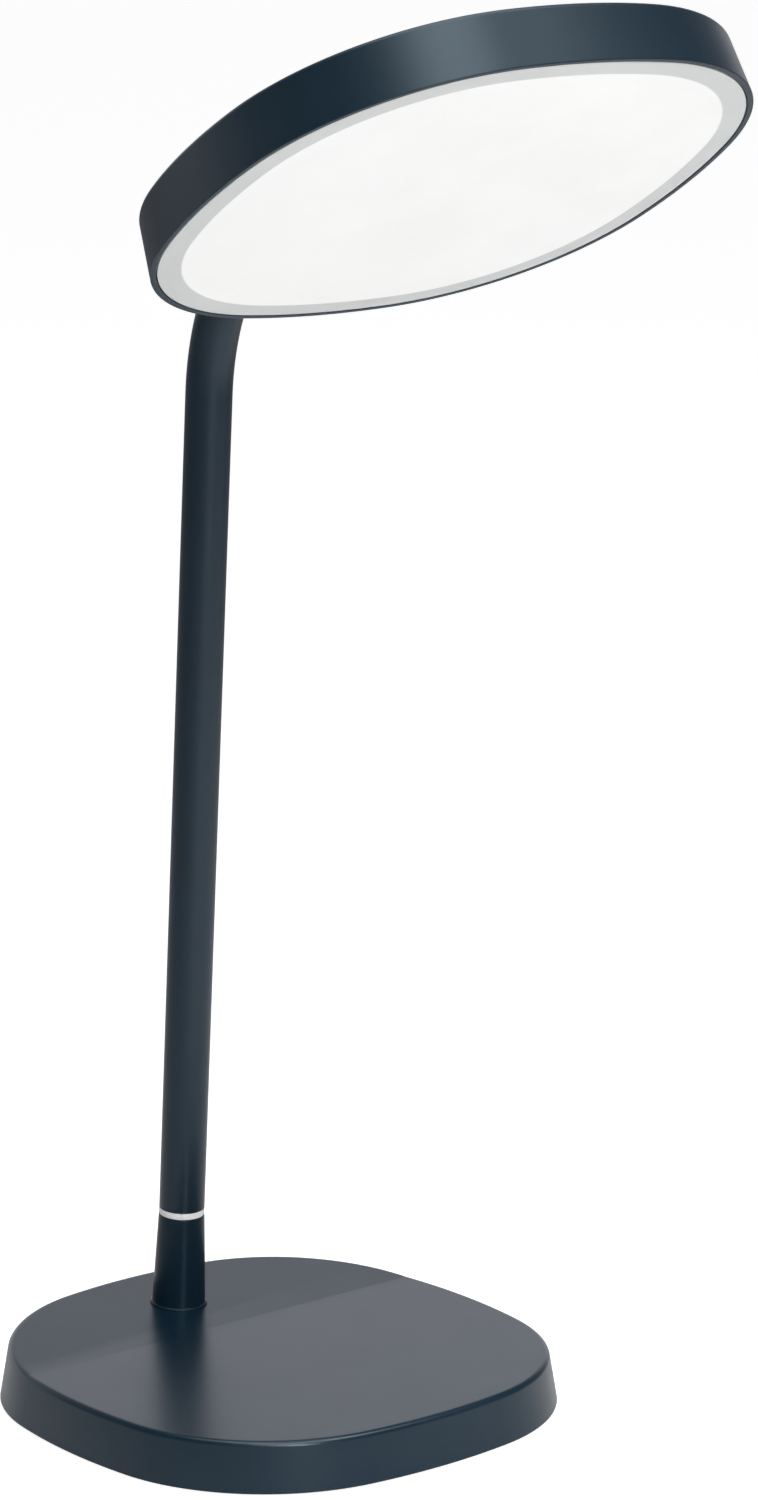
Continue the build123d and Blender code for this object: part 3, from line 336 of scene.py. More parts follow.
zinc = new_material("zinc_plated_steel", 0.35, metallic=1.0)
colour_with(zinc, blend_colours(
    zinc, noise(zinc, 8 * mm, 4.0), (0.46, 0.48, 0.50), (0.58, 0.59, 0.59)))
roughen(zinc, noise(zinc, 1.2 * mm, 3.0), 0.29, 0.44)
relief(zinc, noise(zinc, 0.3 * mm, 2.0, (1, 1, 6)), 0.01 * mm, 0.5)
dress([
    "ballast_plate", "ballast_screws", "base_screws", "inlet_board_screws", "backing_plate",
    "collar_nut", "stop_screw", "swivel_shaft", "swivel_washer", "spring_washer", "swivel_nut",
    "bracket_backing", "bracket_screws", "hinge_bolt", "hinge_nut", "frame_screws",
    "control_board_screws",
], zinc)

brass = new_material("plated_contact", 0.28, metallic=1.0)
colour_with(brass, blend_colours(
    brass, noise(brass, 2 * mm), (0.70, 0.54, 0.26), (0.80, 0.66, 0.38)))
roughen(brass, noise(brass, 0.6 * mm), 0.28, 0.38)
relief(brass, noise(brass, 0.2 * mm), 0.005 * mm, 0.4)
dress(["dc_jack_pin"], brass)


# ---- Base cover
# One injection moulding, sprayed satin navy: a leaning wall all round, a flat
# front part of the top and a rear part that rises 3.8 degrees from a soft crease.

COVER_FOOT = 0.8 * mm
FOOT_NEAR = 0.05 * mm
COVER_FRONT = 17.7 * mm
COVER_WALL = 2.5 * mm
COVER_LEAN = radians(9.6)
COVER_DRAWN = 25 * mm  # the wall is drawn up past the top and then cut off
CREASE = 31.3 * mm
CREASE_NEAR = 0.02 * mm
REAR_RISE = radians(3.8)
TOP_ROUND = 2.0 * mm
TOP_MIDDLE = 70 * mm
FLAT_RING = 0.8 * mm
RIM_EDGE = 10 * mm  # every edge along the rim is shorter
ROUND_STEPS = 7
STEM_FOOT = Vector((0, 57.2, 19.420276)) * mm
COLLAR_HOLE = 7.2 * mm
COLLAR_HOLE_REACH = 6 * mm
JACK_HEIGHT = 11.35 * mm
JACK_HOLE = 4.1 * mm
JACK_HOLE_ENDS = (80 * mm, 95 * mm)
POST_X = 62.0 * mm
POST_Y = 60.0 * mm
SCREW_POSTS = [(x, y) for x in (-POST_X, POST_X) for y in (-POST_Y, POST_Y)]
POST_RADIUS = 3.5 * mm
PILOT_RADIUS = 1.52 * mm
PILOT_DEPTH = 9.0 * mm
PAN_TOP = 4.0 * mm
NAVY_DEEP = (0.0027, 0.0128, 0.0240)
NAVY_LIGHT = (0.0035, 0.0148, 0.0270)
# The lighter navy that is painted along rounded edges as a highlight.
NAVY_EDGE_HIGHLIGHT = (0.0050, 0.0175, 0.0310)
NAVY_SHEEN = (0.80, 0.91, 1.0, 1)
NAVY_SPREAD = 0.012
NAVY_GRAIN = 2.5 * mm
NAVY_GRAIN_HEIGHT = 0.0015 * mm
FULL_EDGE_HIGHLIGHT = radians(14)  # where the surface turns this much, the painted edge highlight is full


def navy_finish(name, grain, grain_height, roughness):
    """Satin navy paint: slightly cloudy, fine-grained, and with a painted highlight that lightens
    it along its edges.
    """
    material = new_material(name, roughness)
    nodes, links = material.node_tree.nodes, material.node_tree.links
    nodes["Principled BSDF"].inputs["Specular Tint"].default_value = NAVY_SHEEN
    body_colour = blend_colours(material, noise(material, 30 * mm), NAVY_DEEP, NAVY_LIGHT)
    # Painted highlight: the colour turns lighter along rounded edges, in cloudy patches.
    edge = nodes.new("ShaderNodeAttribute")
    edge.attribute_name = "edge"
    edge_highlight = nodes.new("ShaderNodeMix")
    edge_highlight.data_type = "RGBA"
    edge_highlight.inputs["B"].default_value = (*NAVY_EDGE_HIGHLIGHT, 1)
    highlight_share = nodes.new("ShaderNodeMath")
    highlight_share.operation = "MULTIPLY"
    links.new(edge.outputs["Fac"], highlight_share.inputs[0])
    links.new(noise(material, 9 * mm, 4.0), highlight_share.inputs[1])
    links.new(highlight_share.outputs["Value"], edge_highlight.inputs["Factor"])
    links.new(body_colour, edge_highlight.inputs["A"])
    colour_with(material, edge_highlight.outputs["Result"])
    roughen(material, noise(material, 22 * mm), roughness - NAVY_SPREAD, roughness + NAVY_SPREAD)
    relief(material, noise(material, grain), grain_height, 0.5)
    return material


def mark_edges(piece):
    """Stores how strongly each point lies on a rounded edge, for the painted edge highlight in the
    finish.
    """
    bpy.ops.object.select_all(action="DESELECT")
    near = [[] for point in piece.data.vertices]
    for face in piece.data.polygons:
        for corner in face.vertices:
            near[corner].append(face.normal)
    edge = piece.data.attributes.new("edge", "FLOAT", "POINT")
    for index, normals in enumerate(near):
        turn = max(a.angle(b, 0.0) for a in normals for b in normals)
        edge.data[index].value = min(1.0, turn / FULL_EDGE_HIGHLIGHT)


def hollow_out(piece, wall):
    """Gives an open skin its wall, inwards."""
    bpy.ops.mesh.select_all(action="SELECT")
    bpy.ops.mesh.remove_doubles(threshold=WELD)
    bpy.ops.mesh.normals_make_consistent(inside=False)
    bpy.ops.object.mode_set(mode="OBJECT")
    skin = piece.modifiers.new("wall", "SOLIDIFY")
    skin.thickness = wall
    skin.offset = -1
    skin.use_even_offset = True
    bpy.ops.object.modifier_apply(modifier=skin.name)


def round_bar(radius, start, end, sides=48):
    """A cutter or a post: a round bar between two points."""
    bpy.ops.object.select_all(action="DESELECT")
    run = end - start
    bpy.ops.mesh.primitive_cylinder_add(
        vertices=sides, radius=radius, depth=run.length, location=(start + end) / 2,
        rotation=run.to_track_quat("Z", "Y").to_euler())
    bar = bpy.context.object
    bpy.ops.object.transform_apply(location=True, rotation=True, scale=True)
    return bar


def join_up(parts):
    """Makes one object of several, and returns it."""
    bpy.ops.object.select_all(action="DESELECT")
    for part in parts:
        part.select_set(True)
    bpy.context.view_layer.objects.active = parts[0]
    bpy.ops.object.join()
    return bpy.context.object


def combine(piece, bars, operation):
    """Cuts the bars out of the piece, or joins them to it, and removes them."""
    tool = join_up(bars)
    bpy.ops.object.select_all(action="DESELECT")
    bpy.context.view_layer.objects.active = piece
    piece.select_set(True)
    change = piece.modifiers.new("change", "BOOLEAN")
    change.operation = operation
    change.solver = "EXACT"
    change.object = tool
    bpy.ops.object.modifier_apply(modifier=change.name)
    bpy.data.objects.remove(tool)


def upright_bar(radius, x, y, low, high, sides=32):
    """A round bar that stands upright."""
    return round_bar(radius, Vector((x, y, low)), Vector((x, y, high)), sides)


def top_height(y):
    """The height of the cover's top before and behind the crease."""
    return COVER_FRONT + max(0.0, y - CREASE) * tan(REAR_RISE)


def on_cover_top(point):
    """On the cover's top."""
    return abs(point.z - top_height(point.y)) < NEAR


def by_crease(*points):
    """On the line where the rear part of the top starts to rise."""
    return max(abs(point.y - CREASE) for point in points) < CREASE_NEAR


def on_top_edge(a, b):
    """An edge that lies in the cover's top."""
    return on_cover_top(a) and on_cover_top(b)


def on_low_cut(point):
    """On the cut of either top plane that lies below the cover's top."""
    return abs(point.z - COVER_FRONT - min(0.0, point.y - CREASE) * tan(REAR_RISE)) < NEAR


cover = rounded_square("base_shell", BASE_HALF, BASE_CORNER, BASE_BOW, 0, COVER_FOOT)
step(COVER_DRAWN * tan(COVER_LEAN), COVER_DRAWN)
bpy.ops.mesh.delete(type="ONLY_FACE")
front_top = ((0, 0, COVER_FRONT), (0, 0, 1))
rear_top = ((0, CREASE, COVER_FRONT), (0, -sin(REAR_RISE), cos(REAR_RISE)))
for spot, upward in (front_top, rear_top):
    bpy.ops.mesh.select_all(action="SELECT")
    bpy.ops.mesh.bisect(plane_co=spot, plane_no=upward, threshold=WELD)
pick(cover, "FACE", lambda centre, way: centre.z > top_height(centre.y))
bpy.ops.mesh.delete(type="FACE")
pick(cover, "VERT", lambda point: on_cover_top(point) and by_crease(point))
bpy.ops.mesh.edge_face_add()
for front in (True, False):
    pick(cover, "EDGE", lambda a, b: on_top_edge(a, b) and (
        by_crease(a, b) or ((a.y + b.y) / 2 < CREASE) == front))
    bpy.ops.mesh.edge_face_add()
pick(cover, "EDGE", lambda a, b: on_low_cut(a) and on_low_cut(b) and not on_top_edge(a, b))
bpy.ops.mesh.dissolve_edges(use_verts=True)
hollow_out(cover, COVER_WALL)
bpy.ops.object.mode_set(mode="EDIT")
pick(cover, "VERT", lambda point: point.z < COVER_FOOT + FOOT_NEAR)
bpy.ops.transform.resize(value=(1, 1, 0), center_override=(0, 0, COVER_FOOT))
pick(cover, "EDGE", lambda a, b: on_top_edge(a, b) and (a - b).length < RIM_EDGE)
bpy.ops.mesh.bevel(
    offset=TOP_ROUND * tan((pi / 2 - COVER_LEAN) / 2), segments=ROUND_STEPS, affect="EDGES")
pick(cover, "FACE", lambda centre, way: (
    centre.z > COVER_FRONT - CREASE_NEAR and hypot(centre.x, centre.y) < TOP_MIDDLE))
bpy.ops.mesh.inset(thickness=FLAT_RING, use_even_offset=True)
pick(cover, "EDGE", lambda a, b: on_top_edge(a, b) and by_crease(a, b))
bpy.ops.mesh.mark_sharp()
finish_mesh(cover)
foot_place = Matrix.Translation(STEM_FOOT) @ Matrix.Rotation(REAR_RISE, 4, "X")
combine(cover, [
    upright_bar(POST_RADIUS, x, y, PAN_TOP, top_height(y) - COVER_WALL / 2) for x, y in SCREW_POSTS
], "UNION")
collar_ends = [foot_place @ Vector((0, 0, z)) for z in (-COLLAR_HOLE_REACH, COLLAR_HOLE_REACH)]
jack_ends = [Vector((0, y, JACK_HEIGHT)) for y in JACK_HOLE_ENDS]
combine(cover, [
    upright_bar(PILOT_RADIUS, x, y, PAN_TOP - mm, PAN_TOP + PILOT_DEPTH) for x, y in SCREW_POSTS
] + [
    round_bar(COLLAR_HOLE, *collar_ends, 64),
    round_bar(JACK_HOLE, *jack_ends),
], "DIFFERENCE")
smooth_faces(cover)
mark_edges(cover)
navy_moulding = navy_finish("navy_moulding", NAVY_GRAIN, NAVY_GRAIN_HEIGHT, 0.30)
finish_in(cover, navy_moulding)
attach(cover, "base")
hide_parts("base_cover")


# ---- Stem collar
# A tapered sleeve with a small rounded lip that sits on the cover, in a duller navy.
# Its threaded shank goes through the cover, where a nut holds it, and a stop screw sits
# in its back. The bushes in it are white mouldings, as is the frame behind the panel.

TURN_STEPS = 72
STOP_RADIUS = 1.52 * mm
STOP_HEIGHT = 13.35 * mm
STOP_ENDS = (2 * mm, 12 * mm)
COLLAR_GLOSS = 0.24


def turned(name, profile):
    """A turned piece: its half section, in mm from the axis and up, spun about that axis."""
    piece = new_point(name, (profile[0][0] * mm, 0, profile[0][1] * mm))
    here = profile[0]
    for there in profile[1:] + profile[:1]:
        move = ((there[0] - here[0]) * mm, 0, (there[1] - here[1]) * mm)
        bpy.ops.mesh.extrude_region_move(TRANSFORM_OT_translate={"value": move})
        here = there
    bpy.ops.mesh.select_all(action="SELECT")
    bpy.ops.mesh.remove_doubles(threshold=WELD)
    bpy.ops.mesh.select_all(action="SELECT")
    bpy.ops.mesh.spin(steps=TURN_STEPS, angle=2 * pi, center=(0, 0, 0), axis=(0, 0, 1))
    return piece


collar = turned("collar_sleeve", [
    (4.5, 5.2), (5.02, 5.2), (5.02, -6.78), (6.7, -6.78), (7.0, -6.5), (7.0, 0.0), (10.1, 0.0),
    (10.1, 0.45), (10.05, 0.58), (9.95, 0.66), (9.64, 0.76), (9.46, 0.88), (9.39, 1.1),
    (8.09, 33.1), (8.02, 33.35), (7.86, 33.5), (5.02, 33.5), (5.02, 21.5), (4.5, 21.5),
])
finish_mesh(collar, foot_place)
stop_ends = [foot_place @ Vector((0, y, STOP_HEIGHT)) for y in STOP_ENDS]
combine(collar, [round_bar(STOP_RADIUS, *stop_ends, 32)], "DIFFERENCE")
smooth_faces(collar)
mark_edges(collar)
navy_collar = navy_finish("navy_collar", NAVY_GRAIN, NAVY_GRAIN_HEIGHT, 0.30)
collar_shader = navy_collar.node_tree.nodes["Principled BSDF"]
collar_shader.inputs["Specular IOR Level"].default_value = COLLAR_GLOSS
finish_in(collar, navy_collar)
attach(collar, "base")
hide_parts("stem_collar")

white_moulding = new_material("white_moulding", 0.4)
colour_with(white_moulding, blend_colours(
    white_moulding, noise(white_moulding, 10 * mm), (0.74, 0.74, 0.72), (0.80, 0.80, 0.78)))
roughen(white_moulding, noise(white_moulding, 3 * mm), 0.34, 0.46)
relief(white_moulding, noise(white_moulding, 0.4 * mm), 0.006 * mm, 0.4)
dress(["upper_bush", "lower_bush", "light_frame"], white_moulding)


# ---- Trim ring
# A white gloss ring between the collar and the tube. It turns with the stem, and a
# fine groove round its middle marks where it is pressed together from two halves.

SWIVEL_AT_REST = radians(-5.8)
stem_place = foot_place @ Matrix.Rotation(SWIVEL_AT_REST, 4, "Z")

trim = turned("white_ring", [
    (4.2, 33.55), (7.75, 33.55), (7.93, 33.62), (8.0, 33.8), (8.0, 34.42), (7.88, 34.52),
    (7.88, 34.60), (8.0, 34.70), (8.0, 35.65), (7.93, 35.83), (7.75, 35.9), (4.2, 35.9),
])
finish_mesh(trim, stem_place)
gloss_white = new_material("gloss_white", 0.22)
colour_with(gloss_white, blend_colours(
    gloss_white, noise(gloss_white, 4 * mm), (0.92, 0.92, 0.92), (0.96, 0.96, 0.96)))
roughen(gloss_white, noise(gloss_white, 1.5 * mm), 0.18, 0.26)
relief(gloss_white, noise(gloss_white, 1.5 * mm), 0.001 * mm, 0.3)
finish_in(trim, gloss_white)
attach(trim, "stem")
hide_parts("trim_ring")


# ---- Stem tube
# 16 mm steel tube with a 1.2 mm wall, bent once by 56 degrees on a 76 mm radius,
# cut square, deburred and sprayed with the same satin navy.

TUBE_RADIUS = 8 * mm
TUBE_SIDES = 72
TUBE_WALL = 1.2 * mm
TUBE_LOW = 35.9 * mm
TUBE_STRAIGHT = 327.4 * mm
BEND_RADIUS = 76.4 * mm
BEND_TURN = radians(56.2)
BEND_STEPS = 40
ARM_RUN = 86.0 * mm
END_RING = 0.25 * mm  # a ring of points close to each cut end keeps it crisp
LOW_RING = 20 * mm

bpy.ops.object.select_all(action="DESELECT")
bpy.ops.mesh.primitive_circle_add(
    vertices=TUBE_SIDES, radius=TUBE_RADIUS, location=(0, 0, TUBE_LOW))
tube = bpy.context.object
tube.name = "navy_tube"
bpy.ops.object.transform_apply(location=True, rotation=True, scale=True)
bpy.ops.object.mode_set(mode="EDIT")
bpy.ops.mesh.select_mode(type="EDGE")
bpy.ops.mesh.select_all(action="SELECT")
for rise in (END_RING, LOW_RING, TUBE_STRAIGHT - TUBE_LOW - END_RING - LOW_RING):
    bpy.ops.mesh.extrude_region_move(TRANSFORM_OT_translate={"value": (0, 0, rise)})
bpy.ops.mesh.spin(
    steps=BEND_STEPS, angle=-BEND_TURN, center=(0, -BEND_RADIUS, TUBE_STRAIGHT), axis=(1, 0, 0))
for run in (ARM_RUN - END_RING, END_RING):
    along = (0, -sin(BEND_TURN) * run, cos(BEND_TURN) * run)
    bpy.ops.mesh.extrude_region_move(TRANSFORM_OT_translate={"value": along})
hollow_out(tube, TUBE_WALL)
bpy.ops.object.mode_set(mode="EDIT")
finish_mesh(tube, stem_place)
mark_edges(tube)
navy_paint = navy_finish("navy_paint", 2.2 * mm, 0.0014 * mm, 0.295)
finish_in(tube, navy_paint)
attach(tube, "stem")
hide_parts("stem_tube")


# ---- Tilt hinge behind the panel
# A cast steel knuckle plugged in the tube, and a black cast bracket with two ears that is
# screwed to the housing. Domed plastic caps cover the ends of the hinge bolt, plastic
# washers brake the tilt, and a rubber grommet guides the lead into the panel.

dress(["arm_knuckle"], navy_paint)

cast_paint = new_material("black_cast_paint", 0.42)
colour_with(cast_paint, blend_colours(
    cast_paint, noise(cast_paint, 15 * mm), (0.010, 0.013, 0.018), (0.016, 0.020, 0.026)))
roughen(cast_paint, noise(cast_paint, 3 * mm), 0.36, 0.5)
relief(cast_paint, noise(cast_paint, 0.6 * mm, 3.0), 0.02 * mm, 0.6)
dress(["hinge_bracket"], cast_paint)
dress(["hinge_caps"], navy_moulding)
dress(["friction_washers"], black_moulding)
dress(["lead_grommet"], rubber)


# ---- Head housing
# A thin shell moulded in one piece and sprayed navy with a softer sheen: its side wall
# leans in towards a flat back, with holes for three keys, the lead and the bracket's
# screws, and posts inside for the screws of the white frame and the control board.

HEAD_HALF = 92.95 * mm
HEAD_CORNER = 77.4 * mm
HEAD_BOW = 165.7 * mm
HEAD_CLEAR = 0.05 * mm
HEAD_FRONT = -37.3 * mm
FRONT_NEAR = 0.3 * mm
HEAD_BACK = -17.4 * mm
BACK_NEAR = -20 * mm
BACK_MIDDLE = 5 * mm
HEAD_LEAN = radians(4.7)
BACK_ROUND = 1.6 * mm
BACK_EXTRA = 0.2 * mm  # the back wall is this much thicker than the side wall
RIM_WIDTH = 2.0 * mm
FRONT_ROUND = 0.35 * mm
OUTLINE_EDGE = 20 * mm  # every edge along the outline is shorter
OUTLINE_BOW = 1.2 * mm
PLATE_BACK = -29.5 * mm
BOARD_BACK = -26.65 * mm
POST_ROOT = -18.5 * mm
HEAD_POST = 2.6 * mm
FRAME_POSTS = ((26.181 * mm, 85.955 * mm, 0), (80.531 * mm, 44.148 * mm, 0))
FRAME_BORE = 1.12 * mm
FRAME_BORE_END = -22.2 * mm
BOARD_POST_X = 29.5 * mm
BOARD_POST_Y = 13.5 * mm
BOARD_BORE = 1.02 * mm
BOARD_BORE_DEPTH = 4.0 * mm
KEY_ROW = -51.95 * mm
KEY_PLACES = (-16 * mm, 0.0, 16 * mm)
KEY_HOLE = 4.8 * mm
BRACKET_X = 10.5 * mm
BRACKET_Y = 13 * mm
BRACKET_HOLE = 1.7 * mm
GROMMET_X = 6.8 * mm
GROMMET_HOLE = 3.42 * mm
HOLE_FROM = -22 * mm
HOLE_TO = -15 * mm
HEAD_SPOT = (0, -117.828 * mm, 447.073 * mm)
HEAD_TILT = radians(-33.8)
HOUSING_SHEEN = (0.74, 0.90, 1.0, 1)
head_place = stem_place @ Matrix.Translation(HEAD_SPOT) @ Matrix.Rotation(HEAD_TILT, 4, "X")


def on_front_outline(a, b):
    """An edge that runs round the shell's front, and not across its rim."""
    return (
        max(a.z, b.z) < HEAD_FRONT + NEAR and (a - b).length < OUTLINE_EDGE
        and abs(hypot(a.x, a.y) - hypot(b.x, b.y)) < OUTLINE_BOW)


housing = rounded_square("head_shell", HEAD_HALF, HEAD_CORNER, HEAD_BOW, HEAD_CLEAR, HEAD_FRONT)
step((HEAD_BACK - HEAD_FRONT) * tan(HEAD_LEAN), HEAD_BACK - HEAD_FRONT)
hollow_out(housing, RIM_WIDTH)
bpy.ops.object.mode_set(mode="EDIT")
pick(housing, "VERT", lambda point: point.z < HEAD_FRONT + FRONT_NEAR)
bpy.ops.transform.resize(value=(1, 1, 0), center_override=(0, 0, HEAD_FRONT))
pick(housing, "FACE", lambda centre, way: way.z < -0.99 and centre.z > BACK_NEAR)
bpy.ops.transform.translate(value=(0, 0, -BACK_EXTRA))
pick(housing, "EDGE", lambda a, b: min(a.z, b.z) > HEAD_BACK - NEAR)
bpy.ops.mesh.bevel(
    offset=BACK_ROUND * tan((pi / 2 - HEAD_LEAN) / 2), segments=ROUND_STEPS, affect="EDGES")
pick(housing, "FACE", lambda centre, way: (
    way.z > 0.999 and hypot(centre.x, centre.y) < BACK_MIDDLE))
step(FLAT_RING, 0)
pick(housing, "EDGE", on_front_outline)
bpy.ops.mesh.bevel(offset=FRONT_ROUND, segments=3, affect="EDGES")
finish_mesh(housing)
posts, holes = [], []
for quarter in range(4):
    for spot in FRAME_POSTS:
        x, y, z = Matrix.Rotation(quarter * pi / 2, 3, "Z") @ Vector(spot)
        posts.append(upright_bar(HEAD_POST, x, y, PLATE_BACK, POST_ROOT))
        holes.append(upright_bar(FRAME_BORE, x, y, PLATE_BACK - mm, FRAME_BORE_END))
for x in (-BOARD_POST_X, BOARD_POST_X):
    for y in (KEY_ROW - BOARD_POST_Y, KEY_ROW + BOARD_POST_Y):
        posts.append(upright_bar(HEAD_POST, x, y, BOARD_BACK, POST_ROOT))
        holes.append(upright_bar(BOARD_BORE, x, y, BOARD_BACK - mm, BOARD_BACK + BOARD_BORE_DEPTH))
for x in KEY_PLACES:
    holes.append(upright_bar(KEY_HOLE, x, KEY_ROW, HOLE_FROM, HOLE_TO, 56))
for x in (-BRACKET_X, BRACKET_X):
    for y in (-BRACKET_Y, BRACKET_Y):
        holes.append(upright_bar(BRACKET_HOLE, x, y, HOLE_FROM, HOLE_TO))
holes.append(upright_bar(GROMMET_HOLE, GROMMET_X, 0, HOLE_FROM, HOLE_TO, 40))
combine(housing, posts, "UNION")
combine(housing, holes, "DIFFERENCE")
lay_in_place(housing, head_place)
smooth_faces(housing)
mark_edges(housing)
navy_housing = navy_finish("navy_housing", NAVY_GRAIN, NAVY_GRAIN_HEIGHT, 0.39)
housing_shader = navy_housing.node_tree.nodes["Principled BSDF"]
housing_shader.inputs["Specular Tint"].default_value = HOUSING_SHEEN
finish_in(housing, navy_housing)
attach(housing, "head")
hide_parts("head_housing")


# ---- Diffuser
# A 2 mm opal acrylic sheet, laser-cut and flame-polished along its edge. The white
# frame behind it keeps its border dark, and the light guide lights the window.

DIFFUSER_INSIDE = 2.414 * mm
DIFFUSER_BACK = -35.2 * mm
DIFFUSER_THICK = 2.0 * mm
DIFFUSER_EDGE = 0.25 * mm
WINDOW_INSIDE = 10.1 * mm
SOFT_EDGE = 0.6 * mm
FLAT_STEPS = (12 * mm, 25 * mm)
WINDOW_GLOW = 1.0
BORDER_GLOW = 0.10
GLOW_STRENGTH = 0.34


def depth_inside(x, y):
    """How far a point lies inside the outline of the panel."""
    reach = HEAD_BOW - HEAD_HALF
    centre = outline_centre(HEAD_HALF, HEAD_CORNER, HEAD_BOW)
    x, y = max(abs(x), abs(y)), min(abs(x), abs(y))
    if atan2(y, x + reach) < atan2(centre, centre + reach):
        return HEAD_BOW - hypot(x + reach, y)
    return HEAD_CORNER - hypot(x - centre, y - centre)


def glow_at(point):
    """Full glow in the window of the front face, and a little in the border."""
    in_window = depth_inside(point.x, point.y) > WINDOW_INSIDE
    return WINDOW_GLOW if in_window and point.z < DIFFUSER_BACK - mm else BORDER_GLOW


sheet = rounded_square(
    "diffuser_sheet", HEAD_HALF, HEAD_CORNER, HEAD_BOW, DIFFUSER_INSIDE, DIFFUSER_BACK, down=True)
step(0, DIFFUSER_THICK - DIFFUSER_EDGE)
round_over(DIFFUSER_EDGE, steps=4)
step(WINDOW_INSIDE - SOFT_EDGE / 2 - DIFFUSER_INSIDE - DIFFUSER_EDGE, 0)
step(SOFT_EDGE, 0)
for reach in FLAT_STEPS:
    step(reach, 0)
close_back(sheet, DIFFUSER_BACK)
finish_mesh(sheet)
glow = sheet.data.attributes.new("glow", "FLOAT", "POINT")
for index, point in enumerate(sheet.data.vertices):
    glow.data[index].value = glow_at(point.co)
lay_in_place(sheet, head_place)

opal = new_material("opal_acrylic", 0.24)
nodes, links = opal.node_tree.nodes, opal.node_tree.links
lit = nodes.new("ShaderNodeAttribute")
lit.attribute_name = "glow"
colour_with(opal, blend_colours(
    opal, noise(opal, 40 * mm), (0.665, 0.68, 0.675), (0.695, 0.71, 0.705)))
shine = nodes.new("ShaderNodeMix")
shine.data_type = "RGBA"
shine.inputs["A"].default_value = (0, 0, 0, 1)
links.new(lit.outputs["Fac"], shine.inputs["Factor"])
warm_white = blend_colours(opal, noise(opal, 60 * mm), (0.94, 0.92, 0.895), (0.965, 0.945, 0.92))
links.new(warm_white, shine.inputs["B"])
links.new(shine.outputs["Result"], nodes["Principled BSDF"].inputs["Emission Color"])
nodes["Principled BSDF"].inputs["Emission Strength"].default_value = GLOW_STRENGTH
roughen(opal, noise(opal, 6 * mm), 0.2, 0.26)
relief(opal, noise(opal, 6 * mm), 0.002 * mm, 0.3)
finish_in(sheet, opal)
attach(sheet, "head")
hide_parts("diffuser")


# ---- Light unit behind the diffuser
# A clear acrylic guide printed with white dots, a white reflector film, a ring of
# white LEDs on a narrow board round the guide, and an aluminium plate behind.

DOTS_PER_METRE = 450

guide_acrylic = new_material("guide_acrylic", 0.08)
nodes, links = guide_acrylic.node_tree.nodes, guide_acrylic.node_tree.links
nodes["Principled BSDF"].inputs["Transmission Weight"].default_value = 0.85
place = nodes.new("ShaderNodeTexCoord")
dots = nodes.new("ShaderNodeTexVoronoi")
dots.inputs["Scale"].default_value = DOTS_PER_METRE
dots.inputs["Randomness"].default_value = 0.15
links.new(place.outputs["Object"], dots.inputs["Vector"])
colour_with(guide_acrylic, blend_colours(
    guide_acrylic, dots.outputs["Distance"], (0.92, 0.92, 0.92), (0.80, 0.86, 0.86), 0.22, 0.3))
roughen(guide_acrylic, noise(guide_acrylic, 5 * mm), 0.05, 0.12)
dress(["light_guide"], guide_acrylic)

film = new_material("reflector_film", 0.5)
colour_with(film, blend_colours(film, noise(film, 12 * mm), (0.80, 0.80, 0.80), (0.86, 0.86, 0.85)))
roughen(film, noise(film, 3 * mm), 0.44, 0.56)
relief(film, noise(film, 0.5 * mm), 0.004 * mm, 0.4)
dress(["reflector_sheet"], film)

led_body = new_material("led_body", 0.3)
colour_with(led_body, blend_colours(
    led_body, noise(led_body, 1.5 * mm), (0.72, 0.66, 0.30), (0.80, 0.74, 0.42)))
roughen(led_body, noise(led_body, 0.5 * mm), 0.29, 0.4)
relief(led_body, noise(led_body, 0.3 * mm), 0.01 * mm, 0.4)
dress(["led_chips"], led_body)

aluminium = new_material("rolled_aluminium", 0.35, metallic=1.0)
colour_with(aluminium, blend_colours(
    aluminium, noise(aluminium, 4 * mm, 4.0, (1, 0.05, 1)), (0.66, 0.67, 0.68), (0.74, 0.75, 0.76)))
roughen(aluminium, noise(aluminium, 1 * mm, 4.0, (1, 0.04, 1)), 0.28, 0.42)
relief(aluminium, noise(aluminium, 0.3 * mm, 2.0, (1, 0.04, 1)), 0.004 * mm, 0.5)
dress(["chassis_plate"], aluminium)


# ---- Control board parts
# Three square tact switches with round plungers, an inductor wound on ferrite, two
# can capacitors and a driver chip stand on the board behind the keys.

switch_black = new_material("switch_black", 0.38)
colour_with(switch_black, blend_colours(
    switch_black, noise(switch_black, 3 * mm), (0.015, 0.015, 0.016), (0.024, 0.024, 0.025)))
roughen(switch_black, noise(switch_black, 1 * mm), 0.32, 0.46)
relief(switch_black, noise(switch_black, 0.25 * mm), 0.006 * mm, 0.4)
dress(["tact_switches", "driver_parts"], switch_black)


# ---- Keys
# Three round keys on the back of the head, each moulded in satin navy with a symbol
# engraved in its face and filled with white enamel: power, brightness and colour.

KEY_FACE = HEAD_BACK + 1.0 * mm
ENGRAVED = 0.25 * mm
FILL = 0.17 * mm
ICON_RADIUS = 2.1 * mm
LINE = 0.5 * mm
FILL_GAP = 0.03 * mm  # left between the enamel and each side of the engraving
POWER_BREAK = 0.75 * mm
BREAK_EXTRA = radians(2)
POWER_BAR_AT = 1.47 * mm
SUN_RADIUS = 1.26 * mm
SUN_RAYS = 8
RAY_LENGTH = 0.84 * mm
RING_STEPS = 44
SUN_STEPS = 32

dress(["power_button", "brightness_button", "colour_button"], navy_moulding)

enamel = new_material("white_enamel", 0.3)
colour_with(enamel, blend_colours(
    enamel, noise(enamel, 1.5 * mm), (0.76, 0.77, 0.77), (0.82, 0.83, 0.83)))
roughen(enamel, noise(enamel, 0.5 * mm), 0.29, 0.38)
relief(enamel, noise(enamel, 0.2 * mm), 0.004 * mm, 0.4)


